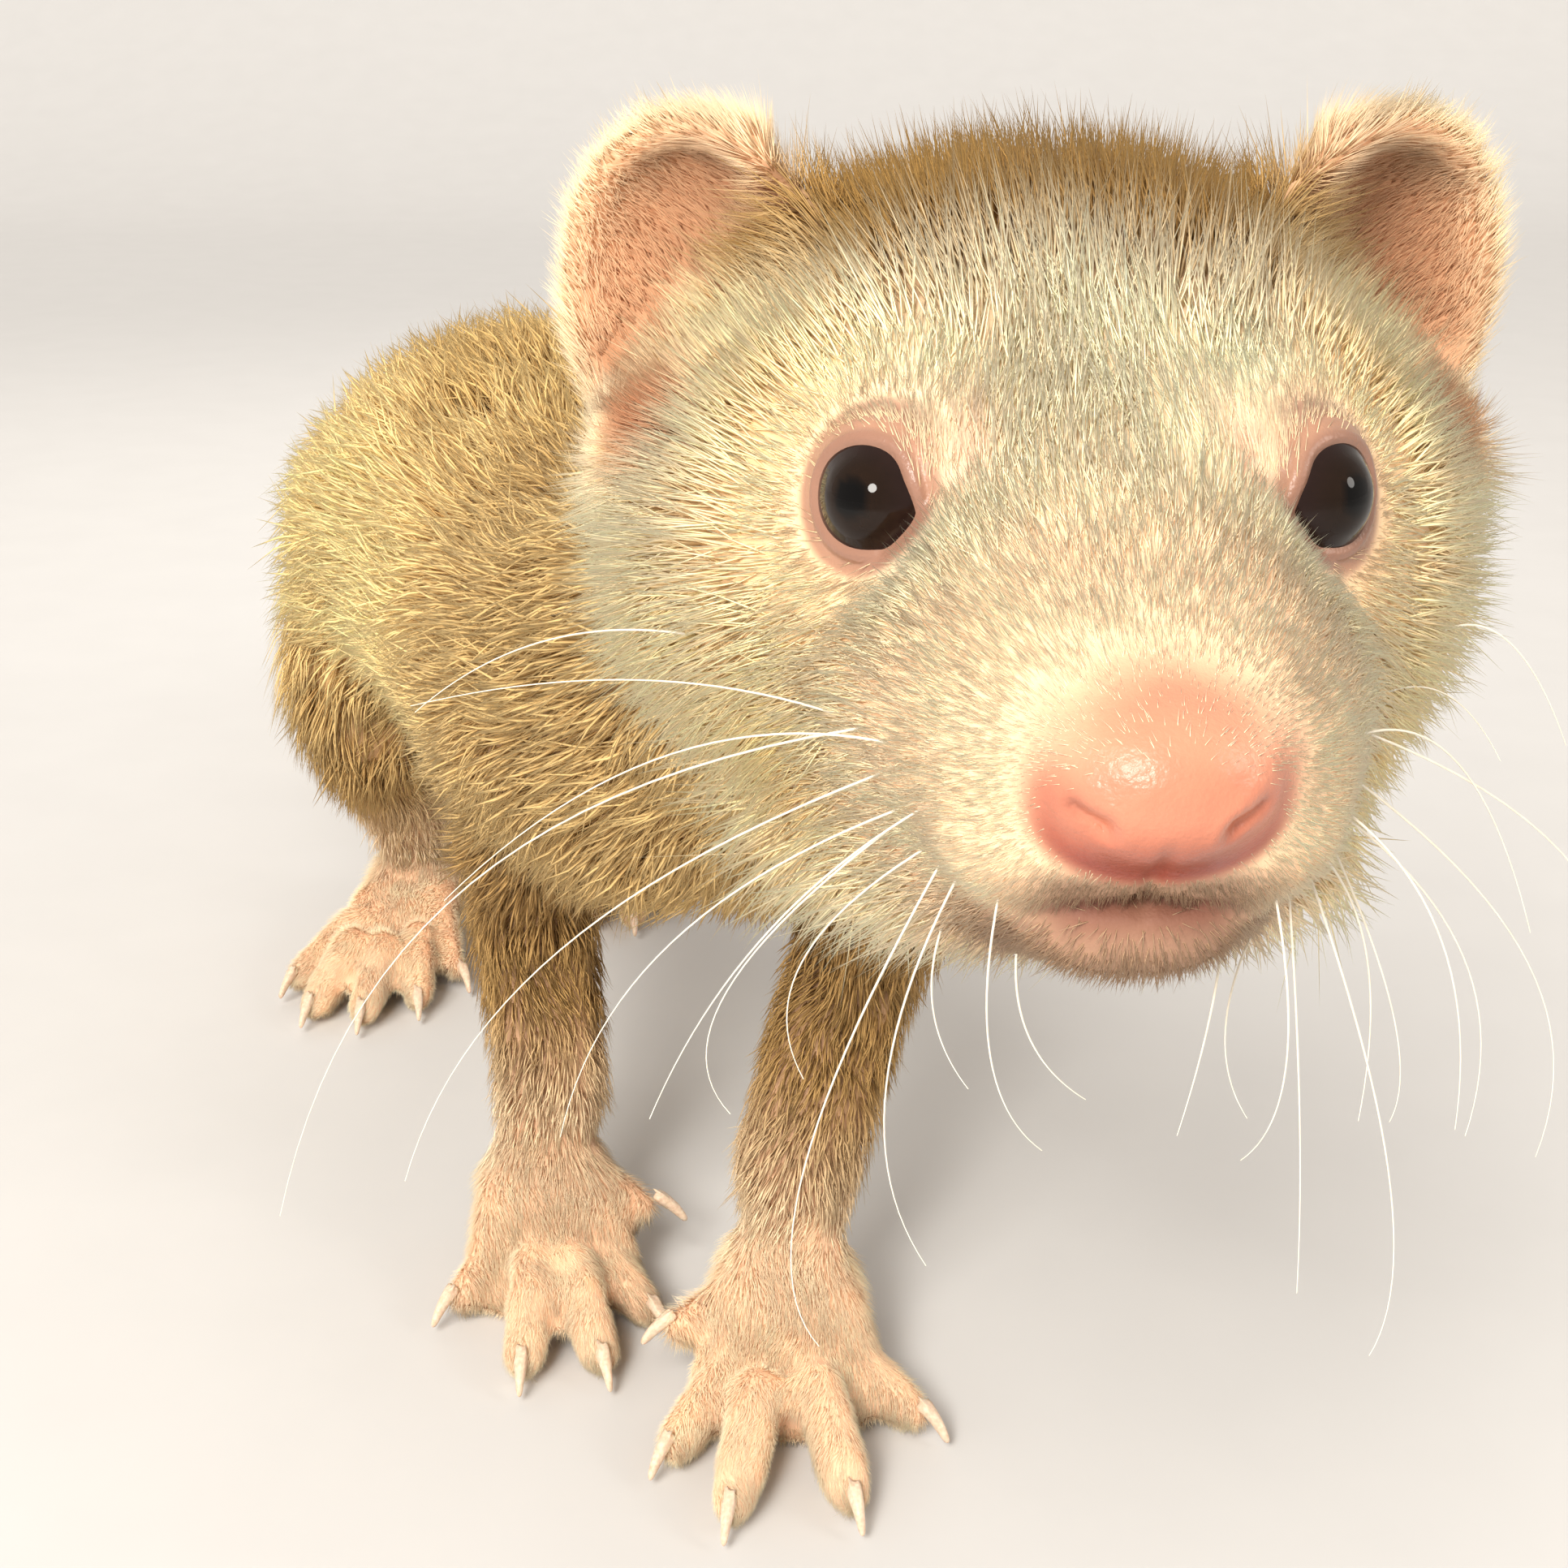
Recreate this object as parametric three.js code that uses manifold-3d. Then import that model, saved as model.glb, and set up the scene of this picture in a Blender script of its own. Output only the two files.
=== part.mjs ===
// A young ferret as a life-size still model: it stands on four feet with its head raised towards the
// viewer, its back arched and its body bending away to its own right, tail low behind it.
// Lengths are in millimetres and +Z is up. The animal faces -Y, so its right side is at -X.
// The pose is laid out from a point on the floor in front of the nose, and the finished group is
// shifted so that the origin is at the bottom centre of its bounding box.

import * as THREE from "three";
import { mergeVertices } from "three/addons/utils/BufferGeometryUtils.js";
import Module from "manifold-3d";

const wasm = await Module();
wasm.setup();

// Driving dimensions
const GAP = 0.3;
const NOSE_TIP = new THREE.Vector3(15.2, 82.8, 102);
const HEAD_LENGTH = 66;
const HEAD_HALF_WIDTH = 25.6;
const HEAD_TURN = THREE.MathUtils.degToRad(1);
const EYE_RADIUS = 3.6;
const EYE_OPENING = 2.85;
const LID_THICKNESS = 0.8;
const EAR_HALF_WIDTH = 9.8;
const EAR_HALF_HEIGHT = 11.8;
const EAR_WALL = 1.5;
const BODY_HALF_WIDTH = 31;
const FORELEG_RADIUS = 8;
const HIND_LEG_RADIUS = 9;
const TOE_RADIUS = 2.5;
const CLAW_LENGTH = 3.4;
const CLAW_RADIUS = 0.8;
const TAIL_RADIUS = 11;

const RIGHT = -1;
const LEFT = 1;
const SIDE_NAMES = { [RIGHT]: "right", [LEFT]: "left" };

const vec = (x, y, z) => new THREE.Vector3(x, y, z);

// Solids from geometry
function solidOf(geometry) {
  const plain = geometry.clone();
  plain.deleteAttribute("normal");
  plain.deleteAttribute("uv");
  const merged = mergeVertices(plain, 1e-4);
  const made = new wasm.Manifold(
    new wasm.Mesh({
      numProp: 3,
      vertProperties: new Float32Array(merged.attributes.position.array),
      triVerts: new Uint32Array(merged.index.array),
    }),
  );
  return made;
}

function join(solids) {
  return solids.reduce((whole, solid) => whole.add(solid));
}

function trim(solid, cutters) {
  return cutters.reduce((whole, cutter) => whole.subtract(cutter), solid);
}

function largestPiece(solid) {
  const pieces = solid.decompose();
  return pieces.reduce((best, piece) => (piece.volume() > best.volume() ? piece : best));
}

// A closed skin lofted through stations: each has its centre, half width, and reach above and below.
// Flat ends stay flat, and a dome of the given length rounds an end. A boxy value above 2 squares
// the section of the upper or lower half.
function loft(stations, options) {
  const { side = vec(1, 0, 0), steps, around = 28, grow = 0, from = 0, to = 1 } = options;
  const { startDome = 0, endDome = 0, domeRings = 3, shape = (p) => p, boxy = [2, 2] } = options;
  const line = new THREE.CatmullRomCurve3(stations.map((s) => s.at), false, "catmullrom", 0.5);
  const girths = stations.map((s) => vec(s.w, s.up, s.down));
  const girth = new THREE.CatmullRomCurve3(girths, false, "catmullrom", 0.5);
  const rings = [];
  const addRing = (t, scale, shift) => {
    const tangent = line.getTangent(t);
    const right = side.clone().addScaledVector(tangent, -side.dot(tangent)).normalize();
    const up = right.clone().cross(tangent);
    const centre = line.getPoint(t).addScaledVector(tangent, shift);
    const half = girth.getPoint(t);
    const ring = [];
    for (let j = 0; j < around; j += 1) {
      const angle = (2 * Math.PI * j) / around;
      const above = Math.sin(angle) >= 0;
      const power = 2 / (above ? boxy[0] : boxy[1]);
      const across = (half.x + grow) * scale * Math.sign(Math.cos(angle)) * Math.abs(Math.cos(angle)) ** power;
      const rise = ((above ? half.y : half.z) + grow) * scale * Math.sign(Math.sin(angle));
      const point = centre.clone().addScaledVector(right, across);
      point.addScaledVector(up, rise * Math.abs(Math.sin(angle)) ** power);
      ring.push(shape(point));
    }
    rings.push(ring);
  };
  for (let k = domeRings - 1; startDome > 0 && k >= 1; k -= 1) {
    const turn = (k / domeRings) * (Math.PI / 2);
    addRing(from, Math.cos(turn), -(startDome + grow) * Math.sin(turn));
  }
  for (let i = 0; i <= steps; i += 1) addRing(from + ((to - from) * i) / steps, 1, 0);
  for (let k = 1; endDome > 0 && k < domeRings; k += 1) {
    const turn = (k / domeRings) * (Math.PI / 2);
    addRing(to, Math.cos(turn), (endDome + grow) * Math.sin(turn));
  }
  const tipAt = (t, shift) => line.getPoint(t).addScaledVector(line.getTangent(t), shift);
  const startTip = shape(tipAt(from, startDome > 0 ? -(startDome + grow) : 0));
  const endTip = shape(tipAt(to, endDome > 0 ? endDome + grow : 0));
  const points = [...rings.flat(), startTip, endTip];
  const index = [];
  for (let i = 0; i < rings.length - 1; i += 1) {
    for (let j = 0; j < around; j += 1) {
      const a = i * around + j;
      const b = i * around + ((j + 1) % around);
      index.push(a, b, b + around, a, b + around, a + around);
    }
  }
  const last = (rings.length - 1) * around;
  const first = points.length - 2;
  for (let j = 0; j < around; j += 1) {
    const next = (j + 1) % around;
    index.push(first, next, j);
    index.push(first + 1, last + j, last + next);
  }
  const geometry = new THREE.BufferGeometry().setFromPoints(points);
  geometry.setIndex(index);
  const made = solidOf(geometry);
  if (made.volume() > 0) return made;
  for (let i = 0; i < index.length; i += 3) [index[i + 1], index[i + 2]] = [index[i + 2], index[i + 1]];
  geometry.setIndex(index);
  return solidOf(geometry);
}

// An ellipsoid at a point, turned by Euler angles in radians
function ellipsoid(centre, radii, turn = [0, 0, 0], around = 16, rings = 10) {
  const geometry = new THREE.SphereGeometry(1, around, rings);
  geometry.scale(radii.x, radii.y, radii.z);
  const matrix = new THREE.Matrix4().makeRotationFromEuler(new THREE.Euler(...turn, "ZYX"));
  geometry.applyMatrix4(matrix.setPosition(centre));
  return solidOf(geometry);
}

// A box whose -Y face is centred on a point, turned so that its +Y axis follows a direction
function blockAhead(point, direction, size) {
  const geometry = new THREE.BoxGeometry(size, size, size);
  geometry.translate(0, size / 2, 0);
  const turn = new THREE.Quaternion().setFromUnitVectors(vec(0, 1, 0), direction.clone().normalize());
  geometry.applyMatrix4(new THREE.Matrix4().compose(point, turn, vec(1, 1, 1)));
  return solidOf(geometry);
}

// Colours and finishes
const finish = (name, color, roughness) =>
  new THREE.MeshStandardMaterial({ name, color, roughness, metalness: 0 });
const CREAM_FUR = finish("cream_fur", 0xe9d5a4, 0.85);
const SANDY_FUR = finish("sandy_fur", 0xc9a567, 0.85);
const PALE_FOOT = finish("pale_foot", 0xe8c4a4, 0.75);
const PINK_SKIN = finish("pink_skin", 0xe8937c, 0.45);
const EAR_SKIN = finish("ear_skin", 0xdca583, 0.7);
const DARK_EYE = finish("dark_eye", 0x120b08, 0.08);
const HORN = finish("claw_horn", 0xe6d6c2, 0.4);

const ferret = new THREE.Group();
function addNode(name, solid, material, group = ferret) {
  const piece = largestPiece(solid);
  const mesh = piece.getMesh();
  const points = new Float32Array(mesh.numVert * 3);
  for (let i = 0; i < mesh.numVert; i += 1) {
    points.set(mesh.vertProperties.subarray(i * mesh.numProp, i * mesh.numProp + 3), i * 3);
  }
  const geometry = new THREE.BufferGeometry();
  geometry.setAttribute("position", new THREE.BufferAttribute(points, 3));
  geometry.setIndex(new THREE.BufferAttribute(mesh.triVerts, 1));
  geometry.computeBoundingBox();
  const centre = geometry.boundingBox.getCenter(vec(0, 0, 0));
  geometry.translate(-centre.x, -centre.y, -centre.z);
  geometry.computeVertexNormals();
  const node = new THREE.Mesh(geometry, material);
  node.name = name;
  node.position.copy(centre);
  group.add(node);
  return piece;
}

// Head frame: x to the animal's left, s back from the nose tip, h above it
const headMatrix = new THREE.Matrix4().makeRotationZ(HEAD_TURN).setPosition(NOSE_TIP);
const inHead = (x, s, h) => vec(x, s, h).applyMatrix4(headMatrix);
const headDirection = (x, s, h) => vec(x, s, h).transformDirection(headMatrix);

// Skull and face: half width, top and bottom of the coat at each distance back from the nose tip
const FACE_STATIONS = [
  [2.0, 0.19, 2.4, 4.6],
  [5.0, 0.29, 4.2, 7.0],
  [9.0, 0.4, 6.2, 9.0],
  [14.0, 0.49, 8.2, 10.4],
  [19.0, 0.585, 10.8, 11.6],
  [24.0, 0.69, 13.6, 13.8],
  [29.0, 0.795, 16.4, 16.0],
  [35.0, 0.9, 19.2, 18.0],
  [42.0, 0.98, 21.1, 19.4],
  [49.0, 1.0, 21.7, 20.2],
  [56.0, 0.98, 21.0, 20.4],
  [62.0, 0.92, 19.4, 20.2],
];
const faceStations = FACE_STATIONS.map(([s, width, up, down]) => ({
  at: inHead(0, s, 0),
  w: width * HEAD_HALF_WIDTH,
  up,
  down,
}));
const EYE_CENTRE = { x: 9.6, s: 23.6, h: 5.9 };
const WHISKER_PAD = { x: 4.5, s: 10.6, h: -4.3, radii: vec(5.8, 7.2, 4.8) };
const eyeCentre = (sign) => inHead(sign * EYE_CENTRE.x, EYE_CENTRE.s, EYE_CENTRE.h);
const eyeAxis = (sign) => headDirection(sign * 0.58, -0.8, 0.16);

// A hollow round the eye, a flatter bridge of the nose with sides that slope like a roof, temples drawn
// in where the ears nest and full cheeks below them, all shaped along the head's own axes
function shapeFace(point) {
  const local = point.clone().applyMatrix4(headMatrix.clone().invert());
  const toEye = vec(Math.abs(local.x) - 13.6, local.y - 21.0, local.z - 5.4);
  const hollow = Math.exp(-toEye.lengthSq() / 44);
  const bridge = Math.exp(-((local.x / 6) ** 2) - ((local.y - 22) / 9) ** 2);
  const temple = Math.exp(-(((local.z - 13.6) / 4.5) ** 2)) * 0.34;
  const cheek = Math.exp(-(((local.z + 4.5) / 5) ** 2)) * 0.055;
  const behindEye = THREE.MathUtils.smoothstep(local.y, 30, 43);
  const share = THREE.MathUtils.clamp(local.z / (2 + 0.46 * local.y), 0, 1);
  const muzzle = THREE.MathUtils.smoothstep(local.y, 3, 8) - THREE.MathUtils.smoothstep(local.y, 13, 22);
  local.x *= (1 + (cheek - temple) * behindEye) * (1 - 0.18 * Math.sin(Math.PI * share) * muzzle);
  local.x -= Math.sign(local.x) * hollow * 3.0;
  local.y += hollow * 2.2;
  local.z -= local.z > 0 ? bridge * 0.8 : 0;
  return local.applyMatrix4(headMatrix);
}

function headForm(grow) {
  const backDome = HEAD_LENGTH - 62;
  const skull = loft(faceStations, {
    steps: 16,
    around: 28,
    grow,
    boxy: [2.2, 2.6],
    startDome: 1.6,
    endDome: backDome + 6,
    shape: shapeFace,
  });
  const bumps = [RIGHT, LEFT].flatMap((sign) => {
    const pad = WHISKER_PAD.radii.clone().addScalar(grow);
    const ball = EYE_RADIUS + LID_THICKNESS + grow;
    return [
      ellipsoid(inHead(sign * WHISKER_PAD.x, WHISKER_PAD.s, WHISKER_PAD.h), pad, [0, 0, sign * -0.25]),
      ellipsoid(eyeCentre(sign), vec(ball, ball, ball), [0, 0, 0], 16, 10),
    ];
  });
  return join([skull, ...bumps]);
}

// Nose pad: a short rounded pad with two comma nostrils and a groove down the middle
const NOSE = { s: 3.5, h: -0.9, radii: vec(5.1, 4.2, 3.9) };
const NOSTRIL = { x: 3.1, s: 0.9, h: -2.6, radius: 0.9, depth: 2.4 };
function noseForm(grow) {
  const radii = NOSE.radii.clone().addScalar(grow);
  return ellipsoid(inHead(0, NOSE.s, NOSE.h), radii, [0.25, 0, 0], 18, 10);
}
function nostril(sign) {
  const inner = ellipsoid(
    inHead(sign * NOSTRIL.x, NOSTRIL.s, NOSTRIL.h),
    vec(NOSTRIL.radius * 1.3, NOSTRIL.depth, NOSTRIL.radius),
    [0, 0, sign * 0.35],
    8,
    5,
  );
  const slit = ellipsoid(
    inHead(sign * (NOSTRIL.x + 1.3), NOSTRIL.s + 1.2, NOSTRIL.h - 0.5),
    vec(1.5, 1.6, 0.5),
    [0, sign * 0.35, sign * 0.7],
    6,
    5,
  );
  return inner.add(slit);
}

// Lower jaw: chin, lips and throat under the line of the mouth
const JAW_STATIONS = [
  [8.0, 5.4, -8.6, 3.4],
  [12.0, 8.6, -9.2, 3.8],
  [18.0, 12.4, -10.2, 4.7],
  [26.0, 15.8, -11.6, 6.0],
  [36.0, 17.6, -13.0, 7.4],
  [46.0, 17.8, -13.8, 7.8],
];
const jawStations = JAW_STATIONS.map(([s, w, h, half]) => ({ at: inHead(0, s, h), w, up: half, down: half }));
const jawForm = (grow) =>
  loft(jawStations, { steps: 6, around: 18, grow, boxy: [2, 2.5], startDome: 3.2, endDome: 6 });

// Eyes and lids
function eyeForm(sign, grow) {
  const r = EYE_RADIUS + grow;
  return ellipsoid(eyeCentre(sign), vec(r, r, r));
}
function lidOpening(sign) {
  const reach = EYE_RADIUS * 2;
  const geometry = new THREE.CylinderGeometry(EYE_OPENING * 1.3, EYE_OPENING * 0.8, reach, 16);
  geometry.scale(1.06, 1, 1);
  geometry.translate(0, reach / 2 + EYE_RADIUS * 0.3, 0);
  const turn = new THREE.Quaternion().setFromUnitVectors(vec(0, 1, 0), eyeAxis(sign));
  geometry.applyMatrix4(new THREE.Matrix4().compose(eyeCentre(sign), turn, vec(1, 1, 1)));
  return solidOf(geometry);
}

// Ears: a bowl with a rounded rim, open forwards and outwards
const EAR = { x: 18.5, s: 48, h: 10.6, lean: 0.12, turn: 0.5 };
function earForm(sign, grow) {
  const centre = inHead(sign * EAR.x, EAR.s, EAR.h);
  const tilt = [0.12, sign * EAR.lean, sign * EAR.turn];
  const facing = vec(0, -1, 0).applyEuler(new THREE.Euler(...tilt, "ZYX"));
  const outer = vec(EAR_HALF_WIDTH + grow, 6.4 + grow, EAR_HALF_HEIGHT + grow);
  const bowl = ellipsoid(centre, outer, tilt, 20, 12);
  if (grow > 0) return bowl;
  const inner = vec(EAR_HALF_WIDTH - EAR_WALL, 6.4 - EAR_WALL, EAR_HALF_HEIGHT - EAR_WALL);
  const hollow = ellipsoid(centre.clone().addScaledVector(facing, 0.6), inner, tilt, 18, 10);
  const front = blockAhead(centre.clone().addScaledVector(facing, 0.8), facing, 40);
  return trim(bowl, [hollow, front]);
}

// Body and tail: one line from the nape to the tail tip, parted into lengths by flat cuts
const BODY_STATIONS = [
  { at: vec(14.0, 139, 102), w: 20, up: 16, down: 16 },
  { at: vec(9.5, 157, 95), w: 21, up: 17.5, down: 18.5 },
  { at: vec(2.5, 176, 83), w: 22, up: 20, down: 20 },
  { at: vec(-6, 198, 71), w: 25.5, up: 23, down: 23.5 },
  { at: vec(-13, 219, 66), w: 27, up: 25.5, down: 25 },
  { at: vec(-20, 241, 66.5), w: 27.5, up: 26, down: 25.5 },
  { at: vec(-27, 264, 67), w: 29, up: 27.5, down: 26 },
  { at: vec(-35, 289, 61.5), w: BODY_HALF_WIDTH, up: 26.5, down: 25.5 },
  { at: vec(-43, 312, 53), w: 27, up: 23.5, down: 21 },
  { at: vec(-50, 331, 43), w: 17.5, up: 16, down: 13.5 },
  { at: vec(-55, 348, 34), w: TAIL_RADIUS, up: 11, down: 10.5 },
  { at: vec(-60, 365, 26.5), w: TAIL_RADIUS, up: 11, down: 10.5 },
  { at: vec(-66, 385, 19.5), w: TAIL_RADIUS * 0.97, up: 10.6, down: 10.4 },
  { at: vec(-71, 405, 14.5), w: TAIL_RADIUS * 0.84, up: 9.2, down: 9.2 },
  { at: vec(-75, 424, 10.5), w: TAIL_RADIUS * 0.62, up: 6.8, down: 6.8 },
  { at: vec(-77, 440, 8.5), w: TAIL_RADIUS * 0.3, up: 3.4, down: 3.4 },
];
const bodySpan = BODY_STATIONS.length - 1;
const bodyLine = new THREE.CatmullRomCurve3(BODY_STATIONS.map((s) => s.at), false, "catmullrom", 0.5);

// Share of the body line that half a gap takes near a station
function halfGapShare(station) {
  const t = station / bodySpan;
  const near = 1e-3;
  const span = bodyLine.getPoint(Math.min(t + near, 1)).distanceTo(bodyLine.getPoint(t - near));
  return (GAP / 2 / span) * 2 * near;
}
function bodyLength(start, end, options) {
  const from = start / bodySpan + (start > 0 ? halfGapShare(start) : 0);
  const to = end / bodySpan - (end < bodySpan ? halfGapShare(end) : 0);
  return loft(BODY_STATIONS, { around: 26, ...options, from, to });
}
const bodyForm = (grow) => loft(BODY_STATIONS, { steps: 36, around: 26, grow, endDome: 4 });

// Legs: a shoulder or thigh that leaves the body, and a lower length down to the foot
const FORELEGS = {
  [RIGHT]: {
    upper: [
      { at: vec(-19, 200, 66), w: 10, up: 13, down: 13 },
      { at: vec(-25.5, 212, 54), w: 10.5, up: 13, down: 12 },
      { at: vec(-27, 224, 42), w: 9.6, up: 11, down: 10 },
    ],
    lower: [
      { at: vec(-27, 226, 38), w: 9.4, up: 9.6, down: 9 },
      { at: vec(-25.5, 221, 28), w: FORELEG_RADIUS, up: 7.6, down: 7.8 },
      { at: vec(-24.8, 216, 19), w: FORELEG_RADIUS * 0.95, up: 6.2, down: 6.8 },
    ],
  },
  [LEFT]: {
    upper: [
      { at: vec(9, 192, 66), w: 10, up: 13, down: 13 },
      { at: vec(11.5, 202, 54), w: 10.5, up: 13, down: 12 },
      { at: vec(8.5, 210, 42), w: 9.6, up: 11, down: 10 },
    ],
    lower: [
      { at: vec(7.5, 211, 38), w: 9.4, up: 9.6, down: 9 },
      { at: vec(4, 205, 28), w: FORELEG_RADIUS, up: 7.6, down: 7.8 },
      { at: vec(1, 197.5, 19), w: FORELEG_RADIUS * 0.95, up: 6.2, down: 6.8 },
    ],
  },
};
const HIND_LEGS = {
  [RIGHT]: {
    upper: [
      { at: vec(-47, 300, 60), w: 16, up: 20, down: 20 },
      { at: vec(-54, 292, 51), w: 15, up: 18, down: 18 },
      { at: vec(-56, 286, 41), w: 12.4, up: 14, down: 13 },
    ],
    lower: [
      { at: vec(-55.5, 286, 38), w: 11, up: 13, down: 12 },
      { at: vec(-53.5, 294, 28), w: HIND_LEG_RADIUS, up: 9, down: 9.5 },
      { at: vec(-52.3, 300.5, 18), w: 7.2, up: 6.6, down: 7.4 },
    ],
  },
  [LEFT]: {
    upper: [
      { at: vec(-24, 308, 60), w: 16, up: 20, down: 20 },
      { at: vec(-18, 306, 51), w: 15, up: 18, down: 18 },
      { at: vec(-16.5, 305, 41), w: 12.4, up: 14, down: 13 },
    ],
    lower: [
      { at: vec(-17, 306, 38), w: 11, up: 13, down: 12 },
      { at: vec(-20.5, 318, 28), w: HIND_LEG_RADIUS, up: 9, down: 9.5 },
      { at: vec(-23.5, 328.5, 18), w: 7.2, up: 6.6, down: 7.4 },
    ],
  },
};
const upperForm = (leg, grow) => loft(leg.upper, { steps: 4, around: 14, grow, startDome: 6, endDome: 7 });
const lowerForm = (leg, grow) => loft(leg.lower, { steps: 4, around: 14, grow, startDome: 7, endDome: 4.5 });

// Feet: a back of the foot that slopes from the wrist or hock to the knuckles, five toes spread as a
// fan, and pads trimmed flat at the floor. Each toe has its turn from the foot's heading, in degrees
// towards the animal's left, and its reach to the claw tip.
const FEET = {
  front_right: {
    ankle: vec(-25.2, 213, 0),
    slope: { rear: -1.5, ahead: 8, top: 18.5, low: 7, w: 7.8, wide: 9.8 },
    heading: 8,
    toes: [[74, 15, 5], [32, 21.5, 0], [10, 27, 0], [-9, 26.5, 0], [-44, 18, 0]],
  },
  front_left: {
    ankle: vec(0.2, 193, 0),
    slope: { rear: -1.5, ahead: 8.5, top: 18.5, low: 7, w: 7.8, wide: 10 },
    heading: 2,
    toes: [[-78, 14.5, 4], [-35, 23, 0], [-13, 29, 0], [12, 28, 0], [46, 20.5, 0]],
  },
  hind_right: {
    ankle: vec(-52, 303, 0),
    slope: { rear: 1, ahead: 17, top: 15, low: 6.4, w: 7.6, wide: 9.2 },
    heading: -9,
    toes: [[30, 27, 0], [16, 34, 0], [4, 38, 0], [-8, 37.5, 0], [-21, 31, 0]],
  },
  hind_left: {
    ankle: vec(-24.5, 334, 0),
    slope: { rear: 1, ahead: 17, top: 15, low: 6.4, w: 7.6, wide: 9.2 },
    heading: -3,
    toes: [[-30, 27, 0], [-16, 34, 0], [-4, 38, 0], [8, 37.5, 0], [21, 31, 0]],
  },
};
const FOOT_SIDE = vec(-1, 0, 0);

const aheadOf = (degrees) => {
  const angle = THREE.MathUtils.degToRad(degrees);
  return vec(Math.sin(angle), -Math.cos(angle), 0);
};
function toeLine(foot, [turn, reach, lift]) {
  const ahead = aheadOf(foot.heading + turn);
  const at = (back, z) => vec(foot.ankle.x, foot.ankle.y, z + lift).addScaledVector(ahead, reach - back);
  const side = vec(ahead.y, -ahead.x, 0);
  return { at, side, reach };
}
function toeForm(foot, toe, grow) {
  const { at, side, reach } = toeLine(foot, toe);
  const tip = CLAW_LENGTH + 0.4;
  const knuckle = Math.min(CLAW_LENGTH + 13, reach * 0.75);
  const stations = [
    { at: at(knuckle, 6.2), w: TOE_RADIUS * 1.1, up: 3, down: 4 },
    { at: at((knuckle + tip) * 0.55, 4.8), w: TOE_RADIUS * 1.05, up: 3, down: 4 },
    { at: at(tip + 1.8, 3.0), w: TOE_RADIUS * 0.95, up: 2.6, down: 3.4 },
    { at: at(tip, 2.4), w: TOE_RADIUS * 0.8, up: 2.0, down: 2.2 },
  ];
  return loft(stations, { steps: 4, around: 8, grow, side, startDome: 2, endDome: 1.6, domeRings: 2 });
}
function footForm(foot, grow) {
  const { rear, ahead, top, low, w, wide } = foot.slope;
  const line = aheadOf(foot.heading);
  const at = (reach, z) => vec(foot.ankle.x, foot.ankle.y, z).addScaledVector(line, reach);
  const stations = [
    { at: at(rear, top * 0.5), w, up: top * 0.5, down: top * 0.55 },
    { at: at((rear + ahead) / 2, top * 0.36), w: (w + wide) / 2, up: top * 0.36, down: top * 0.4 },
    { at: at(ahead, low * 0.5), w: wide, up: low * 0.5, down: low * 0.55 },
  ];
  const options = { steps: 4, around: 16, grow, side: FOOT_SIDE, startDome: 7, endDome: 6, domeRings: 3 };
  const toes = foot.toes.map((toe) => toeForm(foot, toe, grow));
  return join([loft(stations, options), ...toes]);
}

// A claw curves forward and down from inside the toe tip to just above the floor
function clawForm(foot, toe) {
  const { at, side } = toeLine(foot, toe);
  const stations = [
    { at: at(CLAW_LENGTH + 1.4, 2.9), w: CLAW_RADIUS, up: 1.1, down: 1.1 },
    { at: at(CLAW_LENGTH * 0.6, 2.9), w: CLAW_RADIUS * 0.85, up: 0.9, down: 0.95 },
    { at: at(CLAW_LENGTH * 0.28, 2.1), w: CLAW_RADIUS * 0.6, up: 0.6, down: 0.65 },
    { at: at(0, 0.9), w: CLAW_RADIUS * 0.3, up: 0.3, down: 0.3 },
  ];
  return loft(stations, { steps: 4, around: 6, side });
}

// Assembly, from the body outwards, each piece trimmed clear of what it grows from
const head = headForm(0);
const headGrown = headForm(GAP);
const jawGrown = jawForm(GAP);
const bodyGrown = bodyForm(GAP);

const headGroup = new THREE.Group();
ferret.add(headGroup);
const eyeSockets = [RIGHT, LEFT].flatMap((sign) => [eyeForm(sign, GAP), lidOpening(sign)]);
addNode("head", trim(head, [...eyeSockets, noseForm(GAP)]), CREAM_FUR, headGroup);
addNode("lower_jaw", trim(jawForm(0), [headGrown]), CREAM_FUR, headGroup);
addNode("nose", trim(noseForm(0), [nostril(RIGHT), nostril(LEFT)]), PINK_SKIN, headGroup);
for (const sign of [RIGHT, LEFT]) {
  addNode("eye_" + SIDE_NAMES[sign], eyeForm(sign, 0), DARK_EYE, headGroup);
  addNode("ear_" + SIDE_NAMES[sign], trim(earForm(sign, 0), [headGrown]), EAR_SKIN, headGroup);
}

const earsGrown = [RIGHT, LEFT].map((sign) => earForm(sign, GAP));
const bodyGroup = new THREE.Group();
ferret.add(bodyGroup);
const neckForm = bodyLength(0, 2.6, { steps: 6 });
addNode("neck", trim(neckForm, [headGrown, jawGrown, ...earsGrown]), CREAM_FUR, bodyGroup);
addNode("chest", bodyLength(2.6, 5, { steps: 6 }), SANDY_FUR, bodyGroup);
addNode("loin", bodyLength(5, 7, { steps: 5 }), SANDY_FUR, bodyGroup);
addNode("rump", bodyLength(7, 9.5, { steps: 7 }), SANDY_FUR, bodyGroup);
addNode("tail_base", bodyLength(9.5, 12, { steps: 5 }), SANDY_FUR, bodyGroup);
addNode("tail_tip", bodyLength(12, bodySpan, { steps: 6, endDome: 4 }), SANDY_FUR, bodyGroup);

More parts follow.
